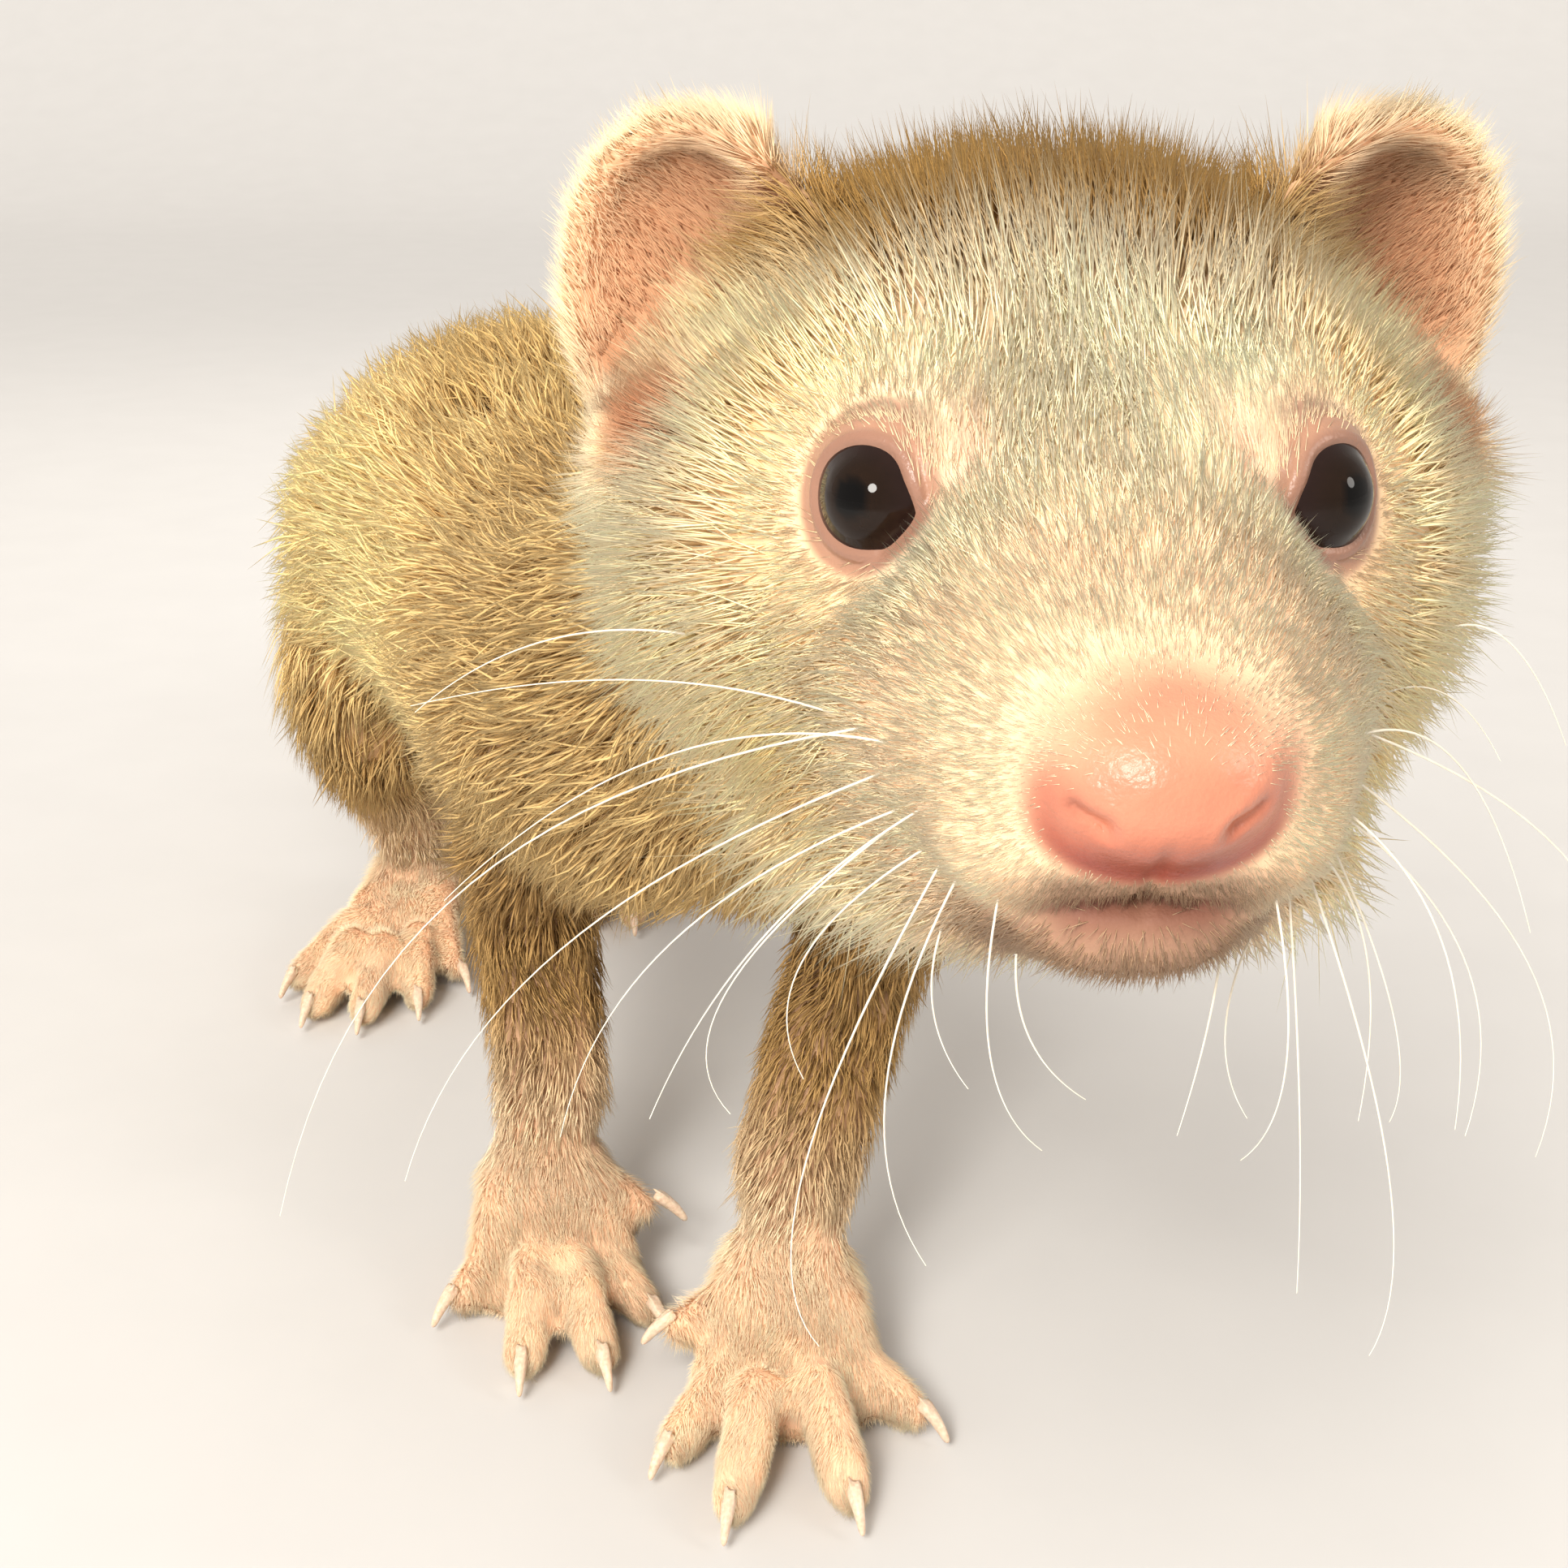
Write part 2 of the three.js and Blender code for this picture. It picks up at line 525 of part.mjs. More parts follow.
const floorBlock = blockAhead(vec(0, 240, 0), vec(0, 0, -1), 600);
function addLeg(name, leg, foot) {
  const legGroup = new THREE.Group();
  ferret.add(legGroup);
  const [upper, lower] = name.startsWith("front") ? ["upper_arm", "forearm"] : ["thigh", "shank"];
  const upperGrown = upperForm(leg, GAP);
  const lowerGrown = lowerForm(leg, GAP);
  const footGrown = footForm(foot, GAP);
  addNode(name + "_" + upper, trim(upperForm(leg, 0), [bodyGrown]), SANDY_FUR, legGroup);
  addNode(name + "_" + lower, trim(lowerForm(leg, 0), [bodyGrown, upperGrown]), SANDY_FUR, legGroup);
  const plainFoot = trim(footForm(foot, 0), [lowerGrown, upperGrown, floorBlock]);
  addNode(name + "_foot", plainFoot, PALE_FOOT, legGroup);
  foot.toes.forEach((toe, i) => {
    addNode(name + "_claw_" + (i + 1), trim(clawForm(foot, toe), [footGrown]), HORN, legGroup);
  });
}
addLeg("front_right", FORELEGS[RIGHT], FEET.front_right);
addLeg("front_left", FORELEGS[LEFT], FEET.front_left);
addLeg("hind_right", HIND_LEGS[RIGHT], FEET.hind_right);
addLeg("hind_left", HIND_LEGS[LEFT], FEET.hind_left);

// Origin at the bottom centre of the bounding box
ferret.updateMatrixWorld(true);
const bounds = new THREE.Box3().setFromObject(ferret, true);
const middle = bounds.getCenter(vec(0, 0, 0));
ferret.position.set(-middle.x, -middle.y, -bounds.min.z);

export default ferret;
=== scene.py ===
import math

import bmesh
import bpy
import numpy as np
from mathutils import Euler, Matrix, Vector


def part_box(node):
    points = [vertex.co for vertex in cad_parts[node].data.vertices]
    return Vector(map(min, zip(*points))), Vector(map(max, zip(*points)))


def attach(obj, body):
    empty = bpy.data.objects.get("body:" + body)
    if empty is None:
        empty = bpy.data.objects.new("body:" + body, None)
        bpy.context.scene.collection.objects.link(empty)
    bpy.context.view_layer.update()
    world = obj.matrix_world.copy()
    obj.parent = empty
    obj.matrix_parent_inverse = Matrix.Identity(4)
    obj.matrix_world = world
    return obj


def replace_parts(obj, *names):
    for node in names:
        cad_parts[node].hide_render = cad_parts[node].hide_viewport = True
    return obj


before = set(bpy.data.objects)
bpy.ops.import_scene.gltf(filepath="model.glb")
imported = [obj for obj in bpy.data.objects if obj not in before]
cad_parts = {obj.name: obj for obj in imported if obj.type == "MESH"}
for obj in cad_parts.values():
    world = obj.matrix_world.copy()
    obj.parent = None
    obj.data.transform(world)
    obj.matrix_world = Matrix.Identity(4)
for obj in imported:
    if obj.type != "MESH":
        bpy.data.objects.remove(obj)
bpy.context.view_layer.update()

# The pose. Every place on the animal is told in millimetres from the point on the floor under the
# camera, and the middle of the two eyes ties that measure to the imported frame.
MM = 0.001
NOSE_TIP = np.array([15.2, 82.8, 102.0])
TURN_COS, TURN_SIN = math.cos(math.radians(1.0)), math.sin(math.radians(1.0))
EYE_PLACE = np.array([9.6, 23.6, 5.9])
HEAD_AXES = np.array([[TURN_COS, TURN_SIN, 0.0], [-TURN_SIN, TURN_COS, 0.0], [0.0, 0.0, 1.0]])


def middle_of(node):
    low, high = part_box(node)
    return (np.array(low) + np.array(high)) / 2


def from_head(local):
    """Pose millimetres of points told from the nose tip: across, back and up."""
    return NOSE_TIP + np.asarray(local, dtype=float) @ HEAD_AXES


eyes_middle = (middle_of("eye_right") + middle_of("eye_left")) / 2
ORIGIN = eyes_middle - from_head([0.0, EYE_PLACE[1], EYE_PLACE[2]]) * MM


def to_pose(points):
    return (points - ORIGIN) / MM


def to_frame(points):
    return np.asarray(points) * MM + ORIGIN


def to_head(places):
    return (places - NOSE_TIP) @ HEAD_AXES.T


# Camera: a hand's breadth before the nose and a little above it, looking down by twenty degrees.
# The focal length is told in picture points, as it was found from the photo.
SENSOR_WIDTH = 36.0
FOCAL_POINTS = 2800.0
PICTURE_POINTS = 1932.0
CAMERA_HEIGHT = 132.0
CAMERA_PITCH = math.radians(70.0)


def set_out(name, data):
    """Puts a mesh, lamp or camera in the scene, unturned and at the origin."""
    piece = bpy.data.objects.new(name, data)
    bpy.context.scene.collection.objects.link(piece)
    return piece


camera_data = bpy.data.cameras.new("camera")
camera_data.sensor_width = SENSOR_WIDTH
camera_data.lens = SENSOR_WIDTH * FOCAL_POINTS / PICTURE_POINTS
camera_data.clip_start = 0.005
camera = set_out("camera", camera_data)
camera.location = to_frame([0.0, 0.0, CAMERA_HEIGHT])
camera.rotation_euler = Euler((CAMERA_PITCH, 0.0, 0.0))
bpy.context.scene.camera = camera

# Skin. One closed hide over head, trunk, limbs and tail, thin and pink under the coat. It is cast
# from the frame's flesh, smoothed where two lengths meet, and drawn in by the depth of the coat.
BONES = [
    # name, start, end, girth at each end, coat depth at each end
    ("skull", (15.2, 84, 98), (13.5, 141, 104), 13, 25, 1.0, 3.6),
    ("nape", (13.5, 141, 104), (2.5, 176, 83), 20, 21, 3.8, 4.6),
    ("withers", (2.5, 176, 83), (-13, 219, 66), 22, 26, 4.8, 5.4),
    ("back", (-13, 219, 66), (-27, 264, 67), 26, 28, 5.4, 6.0),
    ("loins", (-27, 264, 67), (-43, 312, 53), 29, 25, 6.0, 5.6),
    ("croup", (-43, 312, 53), (-55, 348, 34), 24, 11, 5.6, 5.2),
    ("dock", (-55, 348, 34), (-66, 385, 19.5), 11, 10.5, 5.4, 5.6),
    ("tail", (-66, 385, 19.5), (-77, 443, 8.0), 10.5, 3.5, 5.6, 2.4),
    ("right_arm", (-17, 198, 68), (-27, 226, 40), 12, 10, 4.2, 2.8),
    ("right_forearm", (-27, 226, 40), (-25.2, 214, 15), 9, 7.6, 2.6, 1.6),
    ("right_paw", (-25.2, 214, 15), (-21.0, 191, 4), 8, 8, 1.2, 0.5),
    ("left_arm", (8, 190, 68), (8, 211, 40), 12, 10, 4.2, 2.8),
    ("left_forearm", (8, 211, 40), (0.6, 194.5, 15), 9, 7.6, 2.6, 1.6),
    ("left_paw", (0.6, 194.5, 15), (0.8, 169, 4), 8, 8, 1.2, 0.5),
    ("right_thigh", (-46, 302, 62), (-56, 286, 40), 18, 12, 5.4, 3.8),
    ("right_shank", (-56, 286, 40), (-52.2, 303, 12), 10, 7, 3.2, 1.8),
    ("right_foot", (-52.2, 303, 12), (-58, 270, 4), 7, 8, 1.3, 0.5),
    ("left_thigh", (-24, 309, 62), (-16.5, 305, 40), 18, 12, 5.4, 3.8),
    ("left_shank", (-16.5, 305, 40), (-24.5, 334, 12), 10, 7, 3.2, 1.8),
    ("left_foot", (-24.5, 334, 12), (-26.5, 301, 4), 7, 8, 1.3, 0.5),
]
bone_index = {bone[0]: i for i, bone in enumerate(BONES)}
bone_start = np.array([bone[1] for bone in BONES], dtype=float)
bone_end = np.array([bone[2] for bone in BONES], dtype=float)
EAR_PLACE = np.array([18.5, 48.0, 10.6])


def lengths_of(rows):
    return np.linalg.norm(rows, axis=1)


def bell(value):
    """One at nought, falling off to nought on both sides."""
    return np.exp(-(value**2))


def ramp(low, high, value):
    """Nought below low and one above high, or the other way round, with a smooth rise between."""
    share = np.clip((value - low) / (high - low), 0.0, 1.0)
    return share * share * (3.0 - 2.0 * share)


def bone_field(places):
    """Weight of each bone at each point, and how far along the bone it lies."""
    weights = np.empty((len(places), len(BONES)))
    along = np.empty_like(weights)
    for i, bone in enumerate(BONES):
        line = bone_end[i] - bone_start[i]
        share = np.clip((places - bone_start[i]) @ line / (line @ line), 0.0, 1.0)
        reach = lengths_of(places - bone_start[i] - share[:, None] * line)
        girth = bone[3] + (bone[4] - bone[3]) * share
        weights[:, i] = 1.0 / (0.15 + (reach / girth) ** 2) ** 4
        along[:, i] = share
    weights /= weights.sum(axis=1, keepdims=True)
    return weights, along


def mirrored(local):
    """Head points with the right half turned over on to the left."""
    folded = local.copy()
    folded[:, 0] = np.abs(folded[:, 0])
    return folded


def temple_side(high):
    """Half width of the skull beside the ear at each height."""
    return np.interp(high, [-6, 2, 7, 12, 16, 22], [26.4, 23.4, 20.2, 15.4, 12.8, 11.2])


def ear_share(local):
    """How much of each head point belongs to an ear."""
    folded = mirrored(local)
    gap = (folded - EAR_PLACE) / np.array([12.4, 10.0, 14.0])
    above = ramp(0.0, 4.0, folded[:, 0] - temple_side(folded[:, 2]))
    return ramp(1.15, 0.8, lengths_of(gap)) * above


def eye_gap(local):
    return lengths_of(mirrored(local) - EYE_PLACE)


def head_depth(local):
    """Depth of the coat over the head, from bare nose to full cheek."""
    back = np.interp(local[:, 1], [3, 8, 14, 22, 32, 44, 60], [0.35, 0.6, 1.0, 1.7, 2.7, 3.6, 4.2])
    lids = ramp(4.2, 9.5, eye_gap(local))
    return 0.25 + (back - 0.25) * (0.12 + 0.88 * lids)


def coat_depth(places):
    weights, along = bone_field(places)
    depth = np.zeros(len(places))
    for i, bone in enumerate(BONES):
        depth += weights[:, i] * (bone[5] + (bone[6] - bone[5]) * along[:, i])
    local = to_head(places)
    on_head = ramp(74.0, 58.0, local[:, 1])
    depth = depth * (1 - on_head) + head_depth(local) * on_head
    return depth * (1 - 0.93 * ear_share(local) * on_head)


EYE_GAZE = np.array([0.58, -0.8, 0.16]) / np.linalg.norm([0.58, -0.8, 0.16])
LID_ANGLE = 49.0


def eye_view(local):
    """Reach, angle from the gaze and turn about it of each head point, told from its own eye."""
    gap = mirrored(local) - EYE_PLACE
    reach = lengths_of(gap)
    angle = np.degrees(np.arccos(np.clip(gap @ EYE_GAZE / np.maximum(reach, 1e-6), -1, 1)))
    up = np.array([0.0, 0.0, 1.0]) - EYE_GAZE * EYE_GAZE[2]
    up /= np.linalg.norm(up)
    inner = np.cross(EYE_GAZE, up)
    inner *= -np.sign(inner[0])
    turn = np.degrees(np.arctan2(gap @ up, gap @ inner))
    return reach, angle, turn


def lid_edge(turn):
    """Opening of the lids: almost round, drawn out to a corner below on the nose side."""
    corner = bell((turn + 34.0) / 20.0)
    inner = bell((turn - 24.0) / 26.0)
    outer = bell((np.abs(turn) - 165.0) / 26.0)
    flat = 6.5 * np.abs(np.sin(np.radians(turn))) ** 2
    return LID_ANGLE + 15.0 * corner - 6.0 * inner + 3.0 * outer - flat


def carve_lids(local):
    reach, angle, turn = eye_view(local)
    past = angle - lid_edge(turn)
    rim = np.interp(past, [-8, -1, 2, 6, 12, 22], [3.15, 3.5, 3.85, 4.0, 4.0, 4.3])
    near = ramp(8.6, 5.6, reach) * ramp(34.0, 9.0, past)
    wanted = reach + (rim - reach) * near
    gap = mirrored(local) - EYE_PLACE
    shifted = EYE_PLACE + gap * (wanted / np.maximum(reach, 1e-6))[:, None]
    shifted[:, 0] *= np.where(local[:, 0] < 0, -1, 1)
    return shifted


def line_gap(points, knots):
    """Distance from each point to a short line of knots, and the share along it."""
    best = np.full(len(points), 1e9)
    share = np.zeros(len(points))
    spans = len(knots) - 1
    for i in range(spans):
        start, line = np.array(knots[i]), np.array(knots[i + 1]) - np.array(knots[i])
        along = np.clip((points - start) @ line / (line @ line), 0, 1)
        gap = lengths_of(points - start - along[:, None] * line)
        share = np.where(gap < best, (i + along) / spans, share)
        best = np.minimum(best, gap)
    return best, share


NOSTRIL_LINE = [(3.0, 0.2, -2.4), (3.5, 0.5, -2.0), (3.9, 0.8, -1.6)]
MOUTH_LINE = [(0, 4.9, -7.4), (3, 5.6, -7.6), (6.2, 8.4, -8.8), (9, 13.2, -10.2), (10.8, 18, -11)]


def carve_muzzle(local):
    """Nostrils, the groove under them, and the line of the mouth."""
    folded = mirrored(local)
    shifted = local.copy()
    gap, share = line_gap(folded, NOSTRIL_LINE)
    hole = bell(gap / (0.62 - 0.25 * share)) * (1.5 - 0.9 * share)
    shifted[:, 1] += hole
    wing = bell((gap - 1.15) / 0.55) * 0.16
    shifted[:, 1] -= wing * ramp(8.0, 4.0, local[:, 1])
    groove = bell(local[:, 0] / 0.42) * ramp(-2.2, -4.2, local[:, 2])
    groove *= ramp(-8.6, -7.4, local[:, 2]) * ramp(9.0, 6.0, local[:, 1])
    shifted[:, 1] += groove * 0.4
    gap, share = line_gap(folded, MOUTH_LINE)
    lip = bell(gap / 0.45) * (0.9 - 0.65 * ramp(0.0, 0.45, share))
    inward = np.array([0.0, 1.0, 0.15])
    shifted += (lip * ramp(1.0, 0.8, share))[:, None] * inward
    shifted[:, 0] -= np.sign(local[:, 0]) * lip * 0.7 * share
    return shifted


def welded_copy(node):
    """A node's mesh to work on, with its loose corners joined."""
    work = bmesh.new()
    work.from_mesh(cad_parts[node].data)
    bmesh.ops.remove_doubles(work, verts=work.verts, dist=0.002 * MM)
    return work


def mesh_from(work, name):
    mesh = bpy.data.meshes.new(name)
    work.to_mesh(mesh)
    work.free()
    return mesh


def add_in(work, whole):
    """Moves one worked piece into the whole."""
    holder = mesh_from(work, "holder")
    whole.from_mesh(holder)
    bpy.data.meshes.remove(holder)


def worked_mesh(piece):
    """The plain mesh that a piece's modifiers make of it. The piece itself goes."""
    scene_state = bpy.context.evaluated_depsgraph_get()
    mesh = bpy.data.meshes.new_from_object(piece.evaluated_get(scene_state))
    bpy.data.objects.remove(piece)
    return mesh


def shade_smooth(mesh):
    mesh.polygons.foreach_set("use_smooth", np.ones(len(mesh.polygons), dtype=bool))


# Each length of flesh is swelled a little, so that it runs into the next one in the cast.
FLESH_SWELL = 0.35
SOCKET_RADIUS = 3.5
CAST_GRAIN = 0.5
flesh_nodes = [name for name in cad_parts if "claw" not in name and not name.startswith("eye_")]
cast = bmesh.new()
for name in flesh_nodes:
    piece = welded_copy(name)
    piece.normal_update()
    for vert in piece.verts:
        vert.co += vert.normal * FLESH_SWELL * MM
    add_in(piece, cast)
for side in (-1, 1):
    socket = bmesh.ops.create_icosphere(cast, subdivisions=3, radius=SOCKET_RADIUS * MM)
    place = Vector(to_frame(from_head(EYE_PLACE * [side, 1, 1])))
    bmesh.ops.translate(cast, verts=socket["verts"], vec=place)
cast_object = set_out("cast", mesh_from(cast, "cast"))
remesh = cast_object.modifiers.new("remesh", "REMESH")
remesh.mode = "VOXEL"
remesh.voxel_size = CAST_GRAIN * MM
hide_mesh = worked_mesh(cast_object)


def rows_of(items, key, width=3, kind=float):
    """One value of every corner, edge or face of a mesh, as a table."""
    flat = np.empty(len(items) * width, dtype=kind)
    items.foreach_get(key, flat)
    return flat.reshape(-1, width)


def points_of(mesh):
    return rows_of(mesh.vertices, "co")


def edges_of(mesh):
    return rows_of(mesh.edges, "vertices", 2, np.int32)


def relax(points, edges, rounds, weight):
    """Move each point towards the middle of its neighbours, by a weight of its own."""
    ends = np.concatenate([edges[:, 0], edges[:, 1]])
    others = np.concatenate([edges[:, 1], edges[:, 0]])
    counts = np.maximum(np.bincount(ends, minlength=len(points)), 1)
    for _ in range(rounds):
        sums = [np.bincount(ends, points[others, axis], len(points)) for axis in range(3)]
        points = points + (np.stack(sums, axis=1) / counts[:, None] - points) * weight[:, None]
    return points


def fill_hollows(mesh, points, edges, rounds, weight):
    """Relax that raises the hollows and leaves the rounds where they are."""
    rounds_per_look = 15
    for step in range(rounds):
        if step % rounds_per_look == 0:
            place_points(mesh, points)
            normals = normals_of(mesh)
        moved = relax(points, edges, 1, weight)
        lift = ((moved - points) * normals).sum(axis=1)
        points = moved - normals * np.minimum(lift, 0)[:, None] * 0.85
    return points


def place_points(mesh, places):
    mesh.vertices.foreach_set("co", to_frame(places).ravel())
    mesh.update()


def normals_of(mesh):
    return rows_of(mesh.vertex_normals, "vector")


hide = to_pose(points_of(hide_mesh))
hide_edges = edges_of(hide_mesh)
local = to_head(hide)
fine = np.maximum(ramp(60.0, 46.0, local[:, 1]), ear_share(local))
fine = np.maximum(fine, ramp(15.0, 10.0, hide[:, 2]))
toes = ramp(13.0, 9.0, hide[:, 2])
face = ramp(5.5, 10.0, local[:, 1]) * ramp(60.0, 50.0, local[:, 1])
face *= ramp(3.8, 6.0, eye_gap(local)) * (1 - ear_share(local))
face *= ramp(1.0, 1.3, lengths_of((local - [0, 3.2, -1.5]) / [5.2, 5.4, 4.4]))
SOLE_HEIGHT = 0.15
hide = relax(hide, hide_edges, 6, 0.6 - 0.3 * toes)
hide = relax(hide, hide_edges, 60, np.maximum(1.0 - fine, 0.4 * face))
face *= ramp(4.6, 7.5, eye_gap(to_head(hide)))
hide = fill_hollows(hide_mesh, hide, hide_edges, 150, face)
place_points(hide_mesh, hide)
hide = hide - normals_of(hide_mesh) * coat_depth(hide)[:, None]
hide = relax(hide, hide_edges, 4, np.full(len(hide), 0.5))
hide[:, 2] = np.maximum(hide[:, 2], SOLE_HEIGHT)
place_points(hide_mesh, hide)

# The hide under the long coat of the trunk and tail needs few faces; head and feet keep theirs.
FACES_KEPT = 0.086
PLAIN_LEVELS = 4
skin = set_out("skin", hide_mesh)
local = to_head(hide)
plain = ramp(40.0, 62.0, local[:, 1]) * ramp(14.0, 20.0, hide[:, 2])
plain *= 1 - ear_share(local)
off_face = ramp(20.0, 26.0, local[:, 1]) * ramp(8.0, 10.0, eye_gap(local))
plain = np.maximum(plain, 0.5 * off_face)
group = skin.vertex_groups.new(name="plain")
for level in range(1, PLAIN_LEVELS + 1):
    above = plain > (level - 1) / PLAIN_LEVELS
    members = np.nonzero(above & (plain <= level / PLAIN_LEVELS))[0]
    group.add(members.tolist(), level / PLAIN_LEVELS, "REPLACE")
thin = skin.modifiers.new("thin", "DECIMATE")
thin.ratio = FACES_KEPT
thin.vertex_group = "plain"
thin.vertex_group_factor = 4.0
skin_mesh = worked_mesh(skin)


def split_fine(mesh, wanted):
    """Halve every edge of the faces whose middle answers wanted."""
    work = bmesh.new()
    work.from_mesh(mesh)
    middles = to_head(to_pose(np.array([face.calc_center_median() for face in work.faces])))
    chosen = np.nonzero(wanted(middles))[0]
    work.faces.ensure_lookup_table()
    edges = {edge for i in chosen for edge in work.faces[i].edges}
    bmesh.ops.subdivide_edges(work, edges=list(edges), cuts=1, use_grid_fill=True)
    bmesh.ops.triangulate(work, faces=[face for face in work.faces if len(face.verts) > 4])
    work.to_mesh(mesh)
    work.free()


def on_face(local):
    return (local[:, 1] < 19) | (eye_gap(local) < 7.5)


def on_nose_or_lids(local):
    return (lengths_of(local - [0, 3, -3.5]) < 7.6) | (eye_gap(local) < 5.2)


split_fine(skin_mesh, on_face)
split_fine(skin_mesh, on_nose_or_lids)
skin_mesh.name = "skin"
hide = to_pose(points_of(skin_mesh))
edges = edges_of(skin_mesh)
local = to_head(hide)
face_share = ramp(24.0, 15.0, local[:, 1])
hide = relax(hide, edges, 4, 0.5 * np.maximum(face_share, ramp(9.0, 6.0, eye_gap(local))))
local = carve_muzzle(carve_lids(to_head(hide)))
hide = from_head(local)
close = np.maximum(ramp(20.0, 14.0, local[:, 1]), ramp(8.0, 6.0, eye_gap(local)))
hide = relax(hide, edges, 1, 0.5 * close)
place_points(skin_mesh, hide)
shade_smooth(skin_mesh)
skin = set_out("skin", skin_mesh)
hide_normals = normals_of(skin_mesh)


def tint(red, green, blue):
    """A colour as the eye names it, turned to the light it gives back."""
    value = np.array([red, green, blue], dtype=float)
    return np.where(value <= 0.04045, value / 12.92, ((value + 0.055) / 1.055) ** 2.4)


# Colours of the coat, each at the tip and at the root of the hair
# The darker, warmer roots are partly the hair's own colour and partly painted shade deep in the coat.
CREAM = (tint(1.0, 0.955, 0.82), tint(1.0, 0.865, 0.66))
BLUSH = (tint(1.0, 0.94, 0.83), tint(1.0, 0.84, 0.70))
SAND = (tint(0.73, 0.555, 0.26), tint(0.50, 0.345, 0.135))
GOLD = (tint(1.0, 0.90, 0.65), tint(1.0, 0.82, 0.53))
# Dusky brown of underparts, neck and legs: partly the coat's own colour, partly painted shade.
DUSK_AND_SHADE = (tint(0.72, 0.57, 0.35), tint(0.54, 0.39, 0.21))
# Brownish chin and upper lip: partly lip skin and coat, partly painted shade under nose and jaw.
CHIN_BROWN_AND_SHADE = (tint(0.68, 0.54, 0.43), tint(0.50, 0.36, 0.27))
LID = (tint(0.90, 0.73, 0.57), tint(0.76, 0.57, 0.44))
FOOT = (tint(1.0, 0.93, 0.80), tint(0.94, 0.77, 0.62))
EAR = (tint(0.98, 0.90, 0.76), tint(0.93, 0.79, 0.63))
EAR_CUP = (tint(0.85, 0.68, 0.53), tint(0.76, 0.52, 0.38))
EAR_LOBE = (tint(0.74, 0.52, 0.38), tint(0.62, 0.38, 0.26))
# Paler cream of the forehead: partly the coat's own, partly painted light that lifts the shade of hair
# lying away.
PALE_AND_PAINTED_LIGHT = (tint(1.0, 0.965, 0.85), tint(1.0, 0.92, 0.76))
PINK_DOWN = (tint(0.95, 0.76, 0.65), tint(0.86, 0.62, 0.53))


def swell(points, size, seed):
    """Smooth wandering value about nought, with hills of about the given size."""
    draw = np.random.default_rng(seed)
    waves = draw.normal(size=(7, 3))
    waves *= (2 * math.pi / (size * 2.4)) / lengths_of(waves)[:, None]
    waves *= draw.uniform(0.6, 1.6, size=(7, 1))
    starts = draw.uniform(0, 2 * math.pi, size=7)
    return np.sin(points @ waves.T + starts).sum(axis=1) / math.sqrt(7)


PAWS = ("right_paw", "left_paw", "right_foot", "left_foot")


def limb_share(weights, *names):
    return sum(weights[:, bone_index[name]] for name in names)


def ear_cup(folded):
    """The hollow of the ear, inside its rim."""
    gap = folded - EAR_PLACE
    ahead = gap @ [0.48, -0.87, -0.1]
    across = gap @ [0.87, 0.48, 0.0]
    reach = lengths_of(np.stack([across / 9.8, ahead / 6.4, gap[:, 2] / 11.8], axis=1))
    return ramp(0.92, 0.72, reach)


def ear_lobe(folded):
    """The lower corner of the ear, where it runs out on to the cheek."""
    gap = lengths_of((folded - [22.5, 39.5, 7.4]) / [4.2, 6.0, 4.0])
    return np.exp(-(gap**4))


def thin_brow(folded):
    """Thinly haired pink skin above and inside the inner corner of the eye, and beside the bridge."""
    above = bell(lengths_of((folded - [6.4, 20.6, 8.0]) / [1.1, 2.2, 1.9]))
    beside = bell(lengths_of((folded - [5.2, 11.5, 2.6]) / [0.9, 3.0, 1.0]))
    return np.maximum(above, 0.6 * beside)


SPINE_BACK = [141, 176, 219, 264, 312, 348, 385, 443]
SPINE_HIGH = [104, 83, 66, 67, 53, 34, 19.5, 8]
SPINE_GIRTH = [20, 21, 26, 28, 24, 11, 10.5, 3.5]


